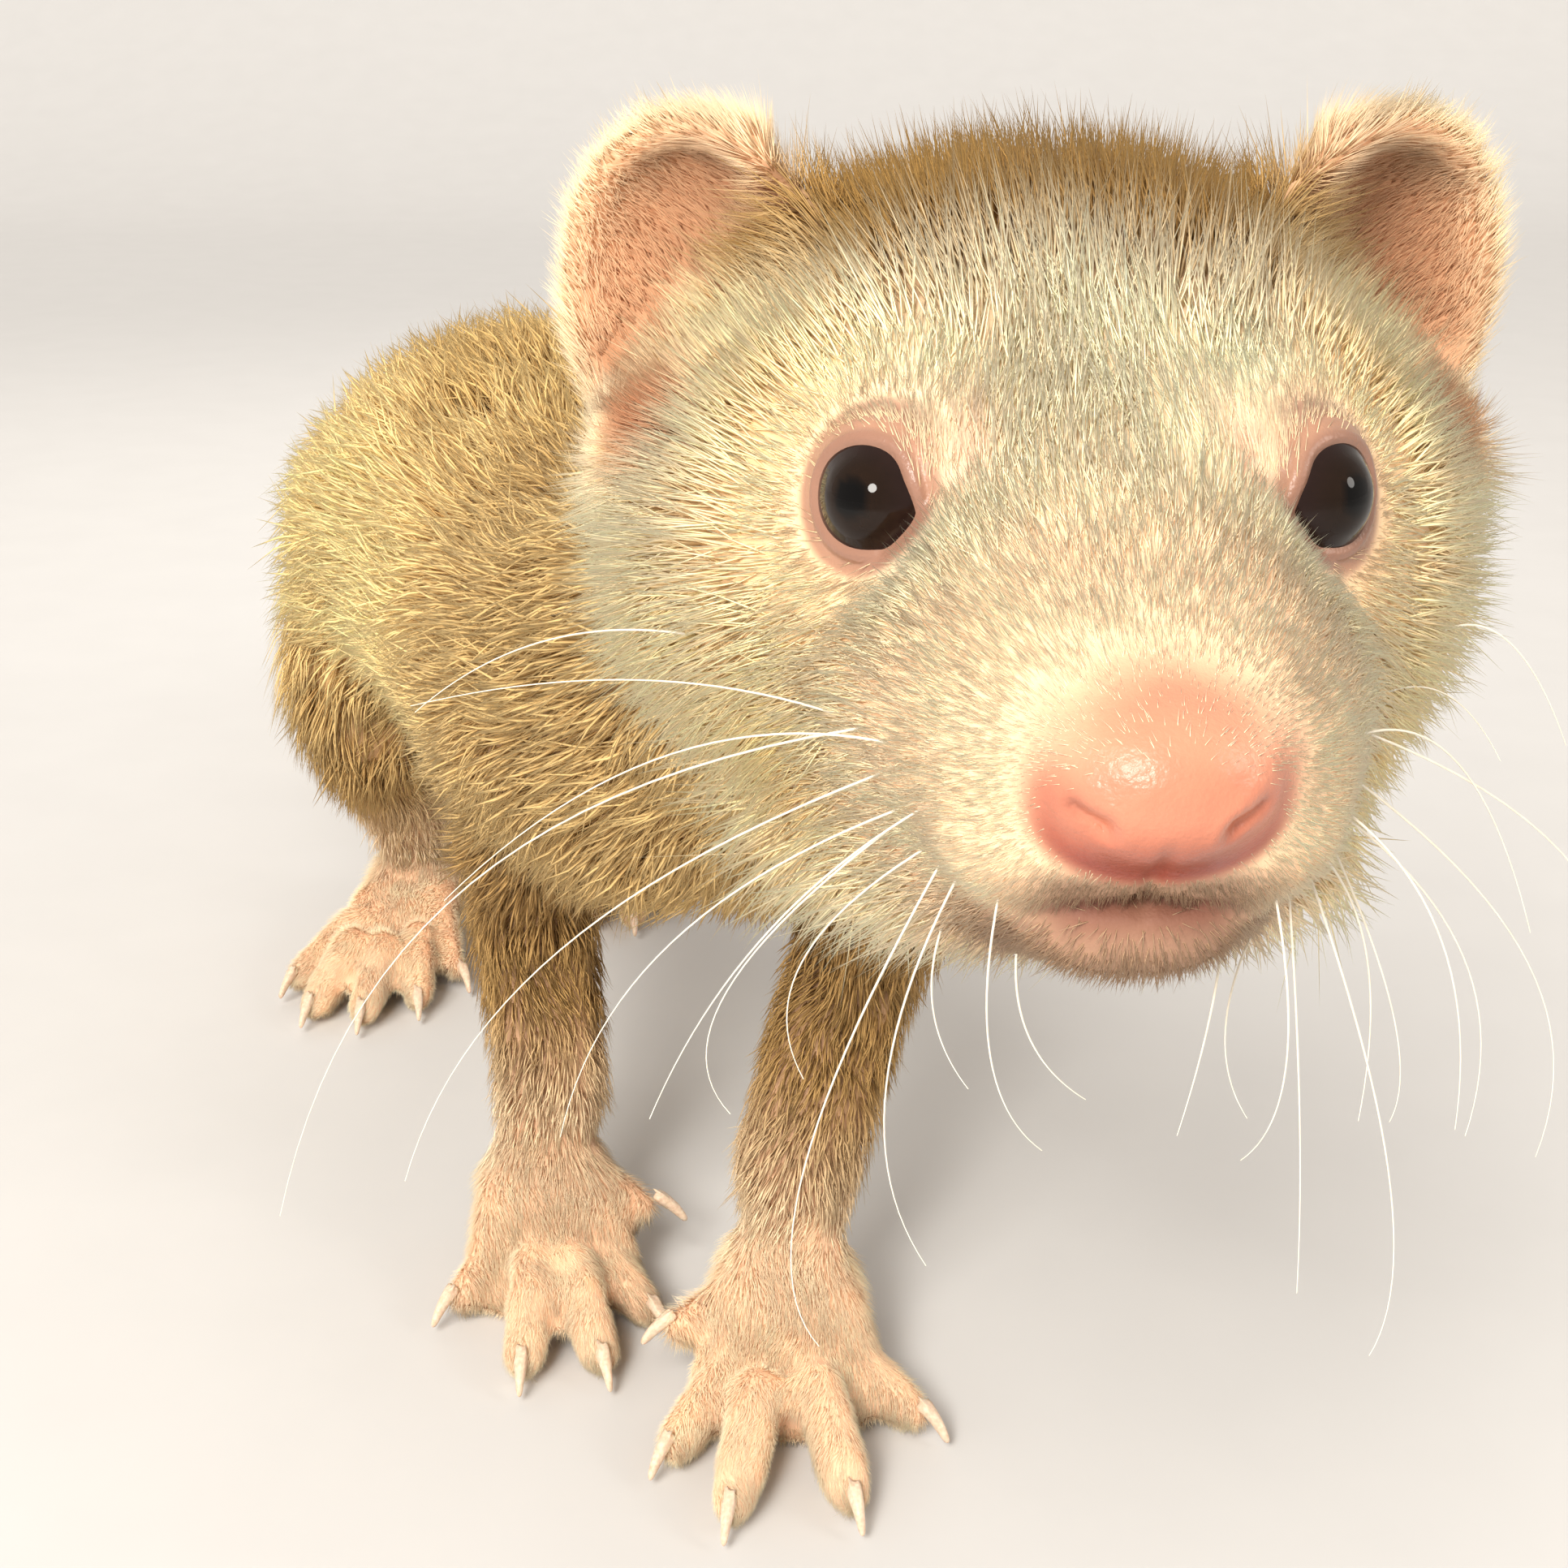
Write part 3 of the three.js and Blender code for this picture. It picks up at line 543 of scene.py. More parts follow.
def coat_colours(places, weights):
    """Tip and root colour of the coat at each place, the same for skin and hair, with painted shade
    low down and on chin and lip and painted light on the forehead.
    """
    local = to_head(places)
    folded = mirrored(local)
    side, back, high = folded[:, 0], local[:, 1], local[:, 2]
    wander = swell(places, 9.0, 3)
    on_head = ramp(76.0, 54.0, back + 2.0 * wander)
    behind = np.maximum(back - 44.0, 0.0)
    crown = ramp(32.0, 42.0, back + 0.35 * high + 1.4 * wander)
    crown *= ramp(9.0, 15.0, high - 0.12 * side + 0.6 * behind)
    crown *= ramp(16.0, 11.0, side + 0.8 * wander - 0.5 * behind)
    nape = ramp(56.0, 64.0, back) * ramp(-4.0, 8.0, high)
    muzzle = ramp(22.0, 13.0, back)
    bridge = ramp(6.5, 3.0, side) * ramp(40.0, 26.0, back)
    bridge *= ramp(0.0, 5.0, high)
    # Forehead: paler, partly as painted light.
    forehead = ramp(15.0, 8.0, side) * ramp(11.0, 18.0, back)
    forehead *= ramp(38.0, 30.0, back) * ramp(0.0, 5.0, high)
    hairline = ramp(28.0, 36.0, back + 0.35 * high) * ramp(4.0, 10.0, high)
    cheek = ramp(22.0, 34.0, back) * ramp(4.0, -8.0, high)
    spot = bell(lengths_of(folded - [15.0, 24.0, -7.0]) / 4.5)
    low = ramp(-12.0, -20.0, high) * ramp(26.0, 40.0, back)
    # Chin, and upper lip under the nose: brownish lip skin and coat with painted shade over them.
    chin = ramp(-7.8, -9.2, high) * ramp(18.0, 11.0, back) * ramp(8.5, 5.0, side)
    lips = ramp(6.5, 3.0, side) * ramp(-4.6, -6.0, high) * ramp(13.0, 8.0, back)
    body = 1 - on_head
    spine = np.interp(places[:, 1], SPINE_BACK, SPINE_HIGH)
    girth = np.interp(places[:, 1], SPINE_BACK, SPINE_GIRTH)
    over_back = ramp(0.35, 0.85, (places[:, 2] - spine) / girth + 0.08 * wander)
    # Darker towards the bottom of the body: partly the coat's own colour, partly painted shade.
    under = ramp(58.0, 34.0, places[:, 2] + 2.5 * wander)
    forearms = limb_share(weights, "right_forearm", "left_forearm")
    front = limb_share(weights, "nape", "withers", "right_arm", "left_arm") + forearms
    ankles = forearms + limb_share(weights, "right_shank", "left_shank")
    feet = ramp(0.3, 0.8, limb_share(weights, *PAWS) + ankles)
    feet *= ramp(31.0, 13.0, places[:, 2] + 1.6 * wander)
    ears = ear_share(local) * on_head
    brow = thin_brow(folded) * on_head
    shares = [
        (BLUSH, 0.55 * muzzle * on_head),
        (BLUSH, 0.2 * bridge * on_head),
        (GOLD, 0.42 * cheek * on_head),
        (GOLD, 0.35 * hairline * on_head),
        (GOLD, 0.8 * spot * on_head),
        # Under the head: partly darker coat, partly painted shade.
        (DUSK_AND_SHADE, 0.6 * low * on_head),
        (CHIN_BROWN_AND_SHADE, 0.85 * np.maximum(chin, lips) * on_head),
        (PALE_AND_PAINTED_LIGHT, 0.9 * forehead * on_head),
        (SAND, 0.92 * crown * on_head),
        (GOLD, body),
        (SAND, 0.6 * body * over_back),
        (SAND, 0.75 * body * nape * ramp(0.2, 0.7, front)),
        (DUSK_AND_SHADE, body * np.clip(0.7 * under + 0.55 * ramp(0.25, 0.8, front), 0, 0.9)),
        (FOOT, feet),
        (EAR, ears),
        (EAR_CUP, 0.95 * ears * ear_cup(folded)),
        (EAR_LOBE, ear_lobe(folded) * on_head),
        (PINK_DOWN, 0.7 * brow),
        (LID, 0.45 * ramp(5.4, 4.2, eye_gap(local)) * on_head),
    ]
    tip, root = CREAM
    for (tip_colour, root_colour), share in shares:
        tip = tip + (tip_colour - tip) * share[:, None]
        root = root + (root_colour - root) * share[:, None]
    return tip, root


BARE = tint(0.95, 0.76, 0.65)
NOSE_PINK = tint(0.79, 0.50, 0.395)
# Redder, darker lower and outer nose pad: partly its own red, partly painted shade.
NOSE_RED_AND_SHADE = tint(0.57, 0.21, 0.145)
MAUVE = tint(0.60, 0.42, 0.34)
# Brown lip skin under the mouth line, darkened further as painted shade.
LIP_BROWN_AND_SHADE = tint(0.44, 0.24, 0.18)


def nose_share(local):
    """The bare pad of the nose, which fades into short hair above."""
    gap = local - [0, 3.2, -1.5]
    gap[:, 2] *= np.where(gap[:, 2] > 0, 0.78, 1.0)
    pad = lengths_of(gap / [5.2, 4.8, 4.1])
    upper = ramp(0.0, 2.5, gap[:, 2])
    return ramp(1.22 + 0.16 * upper, 0.9 - 0.2 * upper, pad)


def skin_colours(places, weights):
    local = to_head(places)
    folded = mirrored(local)
    tip, root = coat_colours(places, weights)
    # The skin takes the root colour, painted shade and all, mixed with bare pink.
    colour = root * 0.75 + BARE * 0.25
    ears = ear_share(local)
    depth = ramp(6.0, -4.0, local[:, 2]) * ramp(24.0, 16.0, folded[:, 0])
    colour += (tint(0.82, 0.62, 0.47) - colour) * (0.85 * ears)[:, None]
    colour += (tint(0.78, 0.47, 0.34) - colour) * (0.7 * ears * depth)[:, None]
    colour += (tint(0.86, 0.58, 0.54) - colour) * (0.3 * thin_brow(folded))[:, None]
    reach, angle, turn = eye_view(local)
    lids = ramp(5.0, 4.3, reach)
    colour += (MAUVE - colour) * (0.85 * lids)[:, None]
    rim = ramp(14.0, 4.0, angle - lid_edge(turn)) * ramp(5.4, 4.6, reach)
    colour += (tint(0.40, 0.27, 0.25) - colour) * (0.4 * rim)[:, None]
    pad = nose_share(local)
    colour += (NOSE_PINK - colour) * pad[:, None]
    # Redder and darker towards the bottom and sides of the pad: partly its own red, partly painted
    # shade.
    edge = ramp(-1.6, -4.8, local[:, 2]) + 0.5 * ramp(3.4, 5.4, folded[:, 0])
    colour += (NOSE_RED_AND_SHADE - colour) * (0.95 * pad * np.clip(edge, 0, 1))[:, None]
    # Dark red in the nostrils: painted shade in the carved openings.
    gap, share = line_gap(folded, NOSTRIL_LINE)
    colour += (tint(0.42, 0.12, 0.09) - colour) * bell(gap / 0.48)[:, None]
    # Below the mouth line: brown lip skin with painted shade.
    gap, share = line_gap(folded, MOUTH_LINE)
    below = bell(gap / 1.9) * ramp(0.5, 0.2, share)
    below *= ramp(-6.7, -7.4, local[:, 2])
    colour += (LIP_BROWN_AND_SHADE - colour) * (0.9 * below)[:, None]
    return colour


def paint(mesh, name, colours):
    layer = mesh.color_attributes.new(name, "FLOAT_COLOR", "POINT")
    rgba = np.ones((len(mesh.vertices), 4))
    rgba[:, :3] = colours
    layer.data.foreach_set("color", rgba.ravel())


def note(mesh, name, values):
    layer = mesh.attributes.new(name, "FLOAT", "POINT")
    layer.data.foreach_set("value", np.asarray(values, dtype=np.float32))


paint(skin_mesh, "tone", skin_colours(hide, bone_field(hide)[0]))
local = to_head(hide)
note(skin_mesh, "moist", np.maximum(nose_share(local), ramp(5.6, 4.4, eye_gap(local))))

# The plan of the hide: four rows of five cells for the lower half, and the head over the upper half.
CELLS = 5
ROWS = 4
CELL_EDGE = 0.04
CELL_FILL = 0.92


def unwrap(places, weights, along):
    """Place of each point on a flat plan of the hide, unrolled bone by bone with the head largest."""
    local = to_head(places)
    place = np.empty((len(places), 2))
    strongest = weights.argmax(axis=1)
    for i in range(1, len(BONES)):
        mine = strongest == i
        line = bone_end[i] - bone_start[i]
        line = line / np.linalg.norm(line)
        aside = np.cross(line, [0.0, 0.0, 1.0] if abs(line[2]) < 0.8 else [0.0, 1.0, 0.0])
        aside /= np.linalg.norm(aside)
        over = np.cross(aside, line)
        gap = places[mine] - bone_start[i]
        turn = np.arctan2(gap @ aside, gap @ over) / (2 * math.pi) + 0.5
        column, row = (i - 1) % CELLS, (i - 1) // CELLS
        place[mine, 0] = (column + CELL_EDGE + CELL_FILL * turn) / CELLS
        place[mine, 1] = 0.5 * (row + CELL_EDGE + CELL_FILL * along[mine, i]) / ROWS
    mine = strongest == 0
    turn = np.arctan2(local[mine, 0], local[mine, 2] + 4.0) / (2 * math.pi) + 0.5
    place[mine, 0] = 0.01 + 0.98 * turn
    place[mine, 1] = 0.51 + 0.48 * np.clip((local[mine, 1] + 1.0) / 72.0, 0, 1)
    return place


class Value:
    """A value in a finish, which adds its own sums as it is written in an expression."""

    def __init__(self, finish, socket):
        self.finish = finish
        self.socket = socket

    def sum(self, operation, first, second):
        return self.finish.add("ShaderNodeMath", {"operation": operation}, {0: first, 1: second})

    def __add__(self, other):
        return self.sum("ADD", self, other)

    def __radd__(self, other):
        return self.sum("ADD", other, self)

    def __sub__(self, other):
        return self.sum("SUBTRACT", self, other)

    def __rsub__(self, other):
        return self.sum("SUBTRACT", other, self)

    def __mul__(self, other):
        return self.sum("MULTIPLY", self, other)

    def __rmul__(self, other):
        return self.sum("MULTIPLY", other, self)


class Finish:
    """A material whose nodes are added by one method."""

    def __init__(self, name):
        self.material = bpy.data.materials.new(name)
        self.material.use_nodes = True
        self.tree = self.material.node_tree
        self.surface = self.tree.nodes["Principled BSDF"]

    def add(self, kind, settings=None, sockets=None, output=0):
        """A node of the kind, its settings made first, then its sockets fed with values or links."""
        node = self.tree.nodes.new(kind)
        for key, value in (settings or {}).items():
            setattr(node, key, value)
        for key, value in (sockets or {}).items():
            self.feed(node.inputs[key], value)
        return Value(self, node.outputs[output])

    def feed(self, socket, value):
        if isinstance(value, Value):
            self.tree.links.new(value.socket, socket)
        else:
            socket.default_value = value

    def wear(self, **values):
        for key, value in values.items():
            self.feed(self.surface.inputs[key.replace("_", " ")], value)

    def attribute(self, name, output="Color"):
        return self.add("ShaderNodeAttribute", {"attribute_name": name}, output=output)

    def noise(self, scale, detail):
        sockets = {"Vector": self.place(), "Scale": scale, "Detail": detail}
        return self.add("ShaderNodeTexNoise", None, sockets)

    def place(self):
        return self.add("ShaderNodeTexCoord", output="Object")

    def blend(self, first, second, amount):
        """Between two fixed colours by the amount."""
        sockets = {6: (*first, 1.0), 7: (*second, 1.0), 0: amount}
        return self.add("ShaderNodeMix", {"data_type": "RGBA"}, sockets, 2)

    def shade(self, colour, low, high, amount):
        """A colour made darker or lighter as the amount runs from nought to one."""
        factor = self.add("ShaderNodeMapRange", None, {"Value": amount, "To Min": low, "To Max": high})
        return self.add("ShaderNodeVectorMath", {"operation": "SCALE"}, {0: colour, "Scale": factor})


skin_finish = Finish("bare_skin")
mottle = skin_finish.noise(420.0, 4.0)
pores = skin_finish.noise(5200.0, 2.0)
moist = skin_finish.attribute("moist", "Fac")
pebble_sockets = {"Vector": skin_finish.place(), "Scale": 2600.0}
pebbles = skin_finish.add("ShaderNodeTexVoronoi", {"feature": "F1"}, pebble_sockets)
relief = pores + 0.7 * mottle - 0.5 * moist * pebbles
bump_sockets = {"Strength": 0.3, "Distance": 0.00012, "Height": relief}
skin_finish.wear(
    Base_Color=skin_finish.shade(skin_finish.attribute("tone"), 0.86, 1.12, mottle),
    Roughness=0.62 - 0.33 * moist + 0.06 * pores,
    Normal=skin_finish.add("ShaderNodeBump", None, bump_sockets),
)
skin_mesh.materials.clear()
skin_mesh.materials.append(skin_finish.material)
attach(skin, "root")
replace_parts(skin, *flesh_nodes)

# Eyes. Two glossy balls, near black with a trace of brown in the iris, a clear bulge in front of
# it, and dark whites that hardly show. Each is seated in the lids carved for it in the hide.
EYE_RADIUS = 3.6
BULGE = 0.28
EYE_WHITE = tint(0.13, 0.08, 0.07)
IRIS_BROWN = tint(0.11, 0.065, 0.035)
PUPIL_BLACK = tint(0.015, 0.012, 0.012)


def eye_ball(name, side):
    ball = bmesh.new()
    bmesh.ops.create_uvsphere(ball, u_segments=56, v_segments=40, radius=1.0)
    mesh = mesh_from(ball, name)
    outward = points_of(mesh)
    gaze = EYE_GAZE * [side, 1, 1]
    angle = np.degrees(np.arccos(np.clip(outward @ gaze, -1, 1)))
    bulge = BULGE * np.clip(1 - (angle / 36.0) ** 2, 0, 1)
    local = EYE_PLACE * [side, 1, 1] + outward * (EYE_RADIUS + bulge)[:, None]
    place_points(mesh, from_head(local))
    iris = ramp(46.0, 20.0, angle)[:, None]
    pupil = ramp(17.0, 12.0, angle)[:, None]
    colour = EYE_WHITE + (IRIS_BROWN - EYE_WHITE) * iris
    colour = colour + (PUPIL_BLACK - colour) * pupil
    paint(mesh, "tone", colour)
    shade_smooth(mesh)
    finish = Finish(name + "_gloss")
    streaks = finish.noise(1400.0, 3.0)
    finish.wear(
        Base_Color=finish.shade(finish.attribute("tone"), 0.75, 1.25, streaks),
        Roughness=0.03 + 0.02 * streaks,
        Specular_IOR_Level=0.22,
    )
    mesh.materials.append(finish.material)
    eye = set_out(name, mesh)
    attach(eye, "root")
    return eye


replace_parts(eye_ball("eyeball_right", -1), "eye_right")
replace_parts(eye_ball("eyeball_left", 1), "eye_left")

# Claws. Short curved points of pale, half clear horn, rounded off from the frame's claws. The root
# of each is drawn back into the tip of its toe, so that it grows out of the hair.
ROOT_DRAWN_BACK = 2.2
CLAW_LOWEST = 0.35
claw_nodes = [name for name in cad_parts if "claw" in name]
claws_work = bmesh.new()
for name in claw_nodes:
    foot_middle = middle_of(name.split("_claw")[0] + "_foot")
    piece = welded_copy(name)
    spots = np.array([vert.co for vert in piece.verts])
    reach = lengths_of((spots - foot_middle)[:, :2])
    share = (reach - reach.min()) / (reach.max() - reach.min())
    forward = spots[share > 0.9].mean(axis=0) - spots[share < 0.25].mean(axis=0)
    forward /= np.linalg.norm(forward)
    for vert, part in zip(piece.verts, share):
        rooted = float(np.clip(1 - part / 0.45, 0, 1))
        vert.co -= Vector(forward) * ROOT_DRAWN_BACK * MM * rooted
    bmesh.ops.dissolve_limit(piece, angle_limit=0.02, verts=piece.verts, edges=piece.edges)
    bmesh.ops.triangulate(piece, faces=piece.faces)
    add_in(piece, claws_work)
claw_edges = claws_work.edges
bmesh.ops.subdivide_edges(claws_work, edges=claw_edges, cuts=1, smooth=0.7, use_grid_fill=True)
claws_mesh = mesh_from(claws_work, "claws")
spots = to_pose(points_of(claws_mesh))
spots = relax(spots, edges_of(claws_mesh), 3, np.full(len(spots), 0.5))
spots[:, 2] = np.maximum(spots[:, 2], CLAW_LOWEST)
place_points(claws_mesh, spots)
shade_smooth(claws_mesh)
claws = set_out("claws", claws_mesh)
horn = Finish("horn")
grain = horn.noise(2600.0, 3.0)
horn.wear(
    Base_Color=horn.blend(tint(0.72, 0.58, 0.46), tint(0.96, 0.89, 0.80), grain),
    Roughness=0.3 + 0.15 * grain,
    Subsurface_Weight=0.2,
    Subsurface_Scale=0.001,
)
claws_mesh.materials.append(horn.material)
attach(claws, "root")
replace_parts(claws, *claw_nodes)

# Coat. Fine tapered tufts rooted in the hide and laid from the nose back over the body and down the
# limbs: short straight ones on head and feet and mixed in over the rest, and fuller ones that bend
# over on trunk, legs and tail.


def coat_lie(places, normals, weights):
    """Direction of the hair along the hide at each place."""
    flow = np.zeros_like(places)
    for i in range(1, len(BONES)):
        line = bone_end[i] - bone_start[i]
        flow += weights[:, i][:, None] * line / np.linalg.norm(line)
    local = to_head(places)
    on_head = ramp(68.0, 50.0, local[:, 1])
    away = local - [0, -7.0, 1.0]
    away /= lengths_of(away)[:, None]
    gap = mirrored(local) - EYE_PLACE
    reach = lengths_of(gap)
    gap[:, 0] *= np.where(local[:, 0] < 0, -1, 1)
    away += 1.5 * bell(reach / 6.8)[:, None] * gap / reach[:, None]
    droop = ramp(14.0, 26.0, local[:, 1]) * ramp(10.0, -6.0, local[:, 2])
    away[:, 2] -= 0.35 * droop
    ears = ear_share(local)[:, None]
    outward = np.sign(local[:, :1]) * [0.55, 0.0, 0.0] + [0.0, -0.1, 0.8]
    away = away * (1 - ears) + outward * ears
    away = away @ HEAD_AXES
    flow = flow * (1 - on_head[:, None]) + away * on_head[:, None]
    flow -= normals * (flow * normals).sum(axis=1)[:, None]
    return flow / np.maximum(lengths_of(flow), 1e-6)[:, None]


def ruff_share(local):
    """The fuller fringe along the jaw and over the cheek, which stands off the head."""
    folded = mirrored(local)
    jaw = ramp(-8.0, -13.0, local[:, 2]) * ramp(7.0, 14.0, local[:, 1])
    cheek = ramp(17.0, 22.5, folded[:, 0]) * ramp(26.0, 36.0, local[:, 1])
    cheek *= ramp(12.0, 4.0, local[:, 2])
    return np.maximum(jaw, cheek) * ramp(64.0, 54.0, local[:, 1])


def jaw_fringe(local):
    """The loose edge of hair that hangs under the jaw from the mouth corners back."""
    fringe = ramp(-9.5, -12.5, local[:, 2]) * ramp(9.0, 15.0, local[:, 1])
    return fringe * ramp(48.0, 34.0, local[:, 1])


def coat_length(places, weights):
    lengths = {
        "skull": 7.0, "nape": 9.0, "withers": 10.0, "back": 11.0, "loins": 11.5, "croup": 11.5,
        "dock": 12.5, "tail": 12.5, "arm": 7.5, "forearm": 4.6, "paw": 1.9, "thigh": 9.5,
        "shank": 5.4, "foot": 2.0,
    }
    length = np.zeros(len(places))
    for i, bone in enumerate(BONES):
        length += weights[:, i] * lengths[bone[0].split("_")[-1]]
    feet = limb_share(weights, *PAWS)
    low = np.interp(places[:, 2], [2, 6, 11, 17, 24], [1.7, 2.2, 3.0, 4.2, 5.0])
    length += (low - length) * ramp(0.1, 0.6, feet)
    local = to_head(places)
    folded = mirrored(local)
    side, back = folded[:, 0], local[:, 1]
    on_head = ramp(72.0, 58.0, back)
    head = np.interp(back, [2, 6, 12, 20, 30, 42, 60], [0.8, 1.6, 3.3, 5.2, 7.0, 8.2, 9.0])
    reach, angle, turn = eye_view(local)
    inner = bell((turn + 35.0) / 45.0)
    head *= 0.34 + 0.66 * ramp(4.1, 8.0, reach - 2.2 * inner)
    head *= 1 + 0.45 * ruff_share(local) * ramp(27.0, 19.0, side)
    head *= 1 - 0.35 * ramp(20.0, 26.0, side)
    head *= 1 + 0.4 * jaw_fringe(local)
    ear_reach = lengths_of((folded - EAR_PLACE) / [12.0, 10.0, 13.6])
    head *= 1 - 0.45 * ramp(1.9, 1.2, ear_reach)
    head *= 1 - 0.65 * ear_lobe(folded)
    behind_ear = ramp(EAR_PLACE[1] + 4.0, EAR_PLACE[1] + 8.0, back)
    on_ear = ear_share(local) * (1 - 0.7 * behind_ear)
    head += (2.7 - 0.9 * ear_cup(folded) - head) * on_ear
    return length * (1 - on_head) + head * on_head


def fine_share(places, weights):
    """How much of the coat grows as straight tufts: all on head and feet, under half elsewhere."""
    on_head = ramp(70.0, 58.0, to_head(places)[:, 1])
    feet = limb_share(weights, *PAWS)
    return np.maximum(np.maximum(on_head, ramp(0.25, 0.7, feet)), 0.42)


def bald_share(places):
    """Where no hair grows: nose pad, lids and inner corner of the eye, lips and soles."""
    local = to_head(places)
    reach, angle, turn = eye_view(local)
    past = angle - lid_edge(turn)
    bald = np.maximum(nose_share(local), ramp(4.2, 3.9, reach))
    corner = bell((turn + 30.0) / 34.0)
    corner *= ramp(6.6, 5.6, reach) * ramp(40.0, 32.0, past)
    bald = np.maximum(bald, corner)
    bald = np.maximum(bald, ramp(3.0, 0.5, past) * ramp(5.4, 4.6, reach))
    gap, share = line_gap(mirrored(local), MOUTH_LINE)
    lip_width = 0.6 + 1.2 * ramp(-7.0, -8.2, local[:, 2])
    lip = bell(gap / lip_width) * ramp(0.5, 0.25, share)
    bald = np.maximum(bald, 0.96 * lip)
    bald = np.maximum(bald, 0.35 * thin_brow(mirrored(local)))
    return np.maximum(bald, ramp(0.7, 0.4, places[:, 2]))


def unit(vectors):
    return vectors / np.maximum(lengths_of(vectors), 1e-9)[:, None]


# Width of a tuft at its root, as a fixed part and a share of its length
FINE_WIDTH = (0.055, 0.0165)
FULL_WIDTH = (0.10, 0.023)
GUARD_HAIRS = 0.24


def grow_coat(count, seed, fine):
    """Root, direction, size and colour of every tuft of one kind."""
    draw = np.random.default_rng(seed)
    thin, thicker = FINE_WIDTH if fine else FULL_WIDTH
    spots = hide[triangles]
    area = lengths_of(np.cross(spots[:, 1] - spots[:, 0], spots[:, 2] - spots[:, 0])) / 2
    middles = spots.mean(axis=1)
    weights, along = bone_field(middles)
    share = fine_share(middles, weights)
    length = coat_length(middles, weights)
    chance = area * (share if fine else 1 - share) * (1 - bald_share(middles))
    chance /= length**0.85 * (thin + thicker * length)
    total = np.cumsum(chance)
    picks = np.searchsorted(total, draw.uniform(0, total[-1], count))
    first, second = draw.uniform(size=(2, count))
    over = first + second > 1
    first[over], second[over] = 1 - first[over], 1 - second[over]
    shares = np.stack([1 - first - second, first, second], axis=1)[:, :, None]
    roots = (spots[picks] * shares).sum(axis=1)
    normals = unit((hide_normals[triangles[picks]] * shares).sum(axis=1))
    weights, along = bone_field(roots)
    length = coat_length(roots, weights)
    width = (thin + thicker * length) * draw.uniform(0.75, 1.25, count)
    lie = coat_lie(roots, normals, weights)
    aside = np.cross(normals, lie)
    local = to_head(roots)
    calm = 1 - 0.7 * ramp(70.0, 60.0, local[:, 1])
    sway = calm * (0.30 * swell(roots, 6.0, 5) + 0.22 * swell(roots, 2.2, 6))
    sway += draw.normal(size=count) * 0.17
    lie = lie * np.cos(sway)[:, None] + aside * np.sin(sway)[:, None]
    length *= draw.uniform(0.7, 1.18, count) * (1 + 0.10 * swell(roots, 3.0, 8))
    stand = np.arcsin(np.clip(coat_depth(roots) / length, 0.1, 0.85))
    stand = stand * draw.uniform(0.6, 1.15, count) + 0.09 * calm * swell(roots, 2.6, 7)
    stand = np.clip(stand, 0.05, 1.25)
    stand += 0.16 * ruff_share(local) * ramp(26.0, 18.0, np.abs(local[:, 0]))
    stand += 0.16 * jaw_fringe(local)
    stand = np.maximum(stand, 0.4 * ear_share(local) * ramp(70.0, 60.0, local[:, 1]))
    guard = draw.uniform(size=count) < GUARD_HAIRS * (1 - ear_share(local))
    length *= 1 + (0.12 + 0.22 * (1 - calm) / 0.7) * guard
    width *= 1 - 0.12 * guard
    stand = np.maximum(stand - 0.05 * guard, 0.05)
    tip, root = coat_colours(roots, weights)
    shade = 1 + 0.04 * (guard + swell(roots, 4.0, 9) + swell(roots, 1.4, 10))
    shade = np.clip(shade + draw.normal(size=count) * 0.055, 0.75, 1.16)[:, None]
    order = np.lexsort((roots[:, 1], weights.argmax(axis=1)))
    grown = dict(
        roots=roots, normals=normals, lie=lie, aside=np.cross(normals, lie), stand=stand[:, None],
        length=length[:, None], width=width[:, None], tip=np.clip(tip * shade, 0, 0.97),
        root=np.clip(root * shade, 0, 0.95), flat=unwrap(roots, weights, along),
    )
    return {key: values[order] for key, values in grown.items()}


ROOT_SUNK = 0.15
HAIR_LOWEST = 0.12
HALF_PATCH = 0.0015


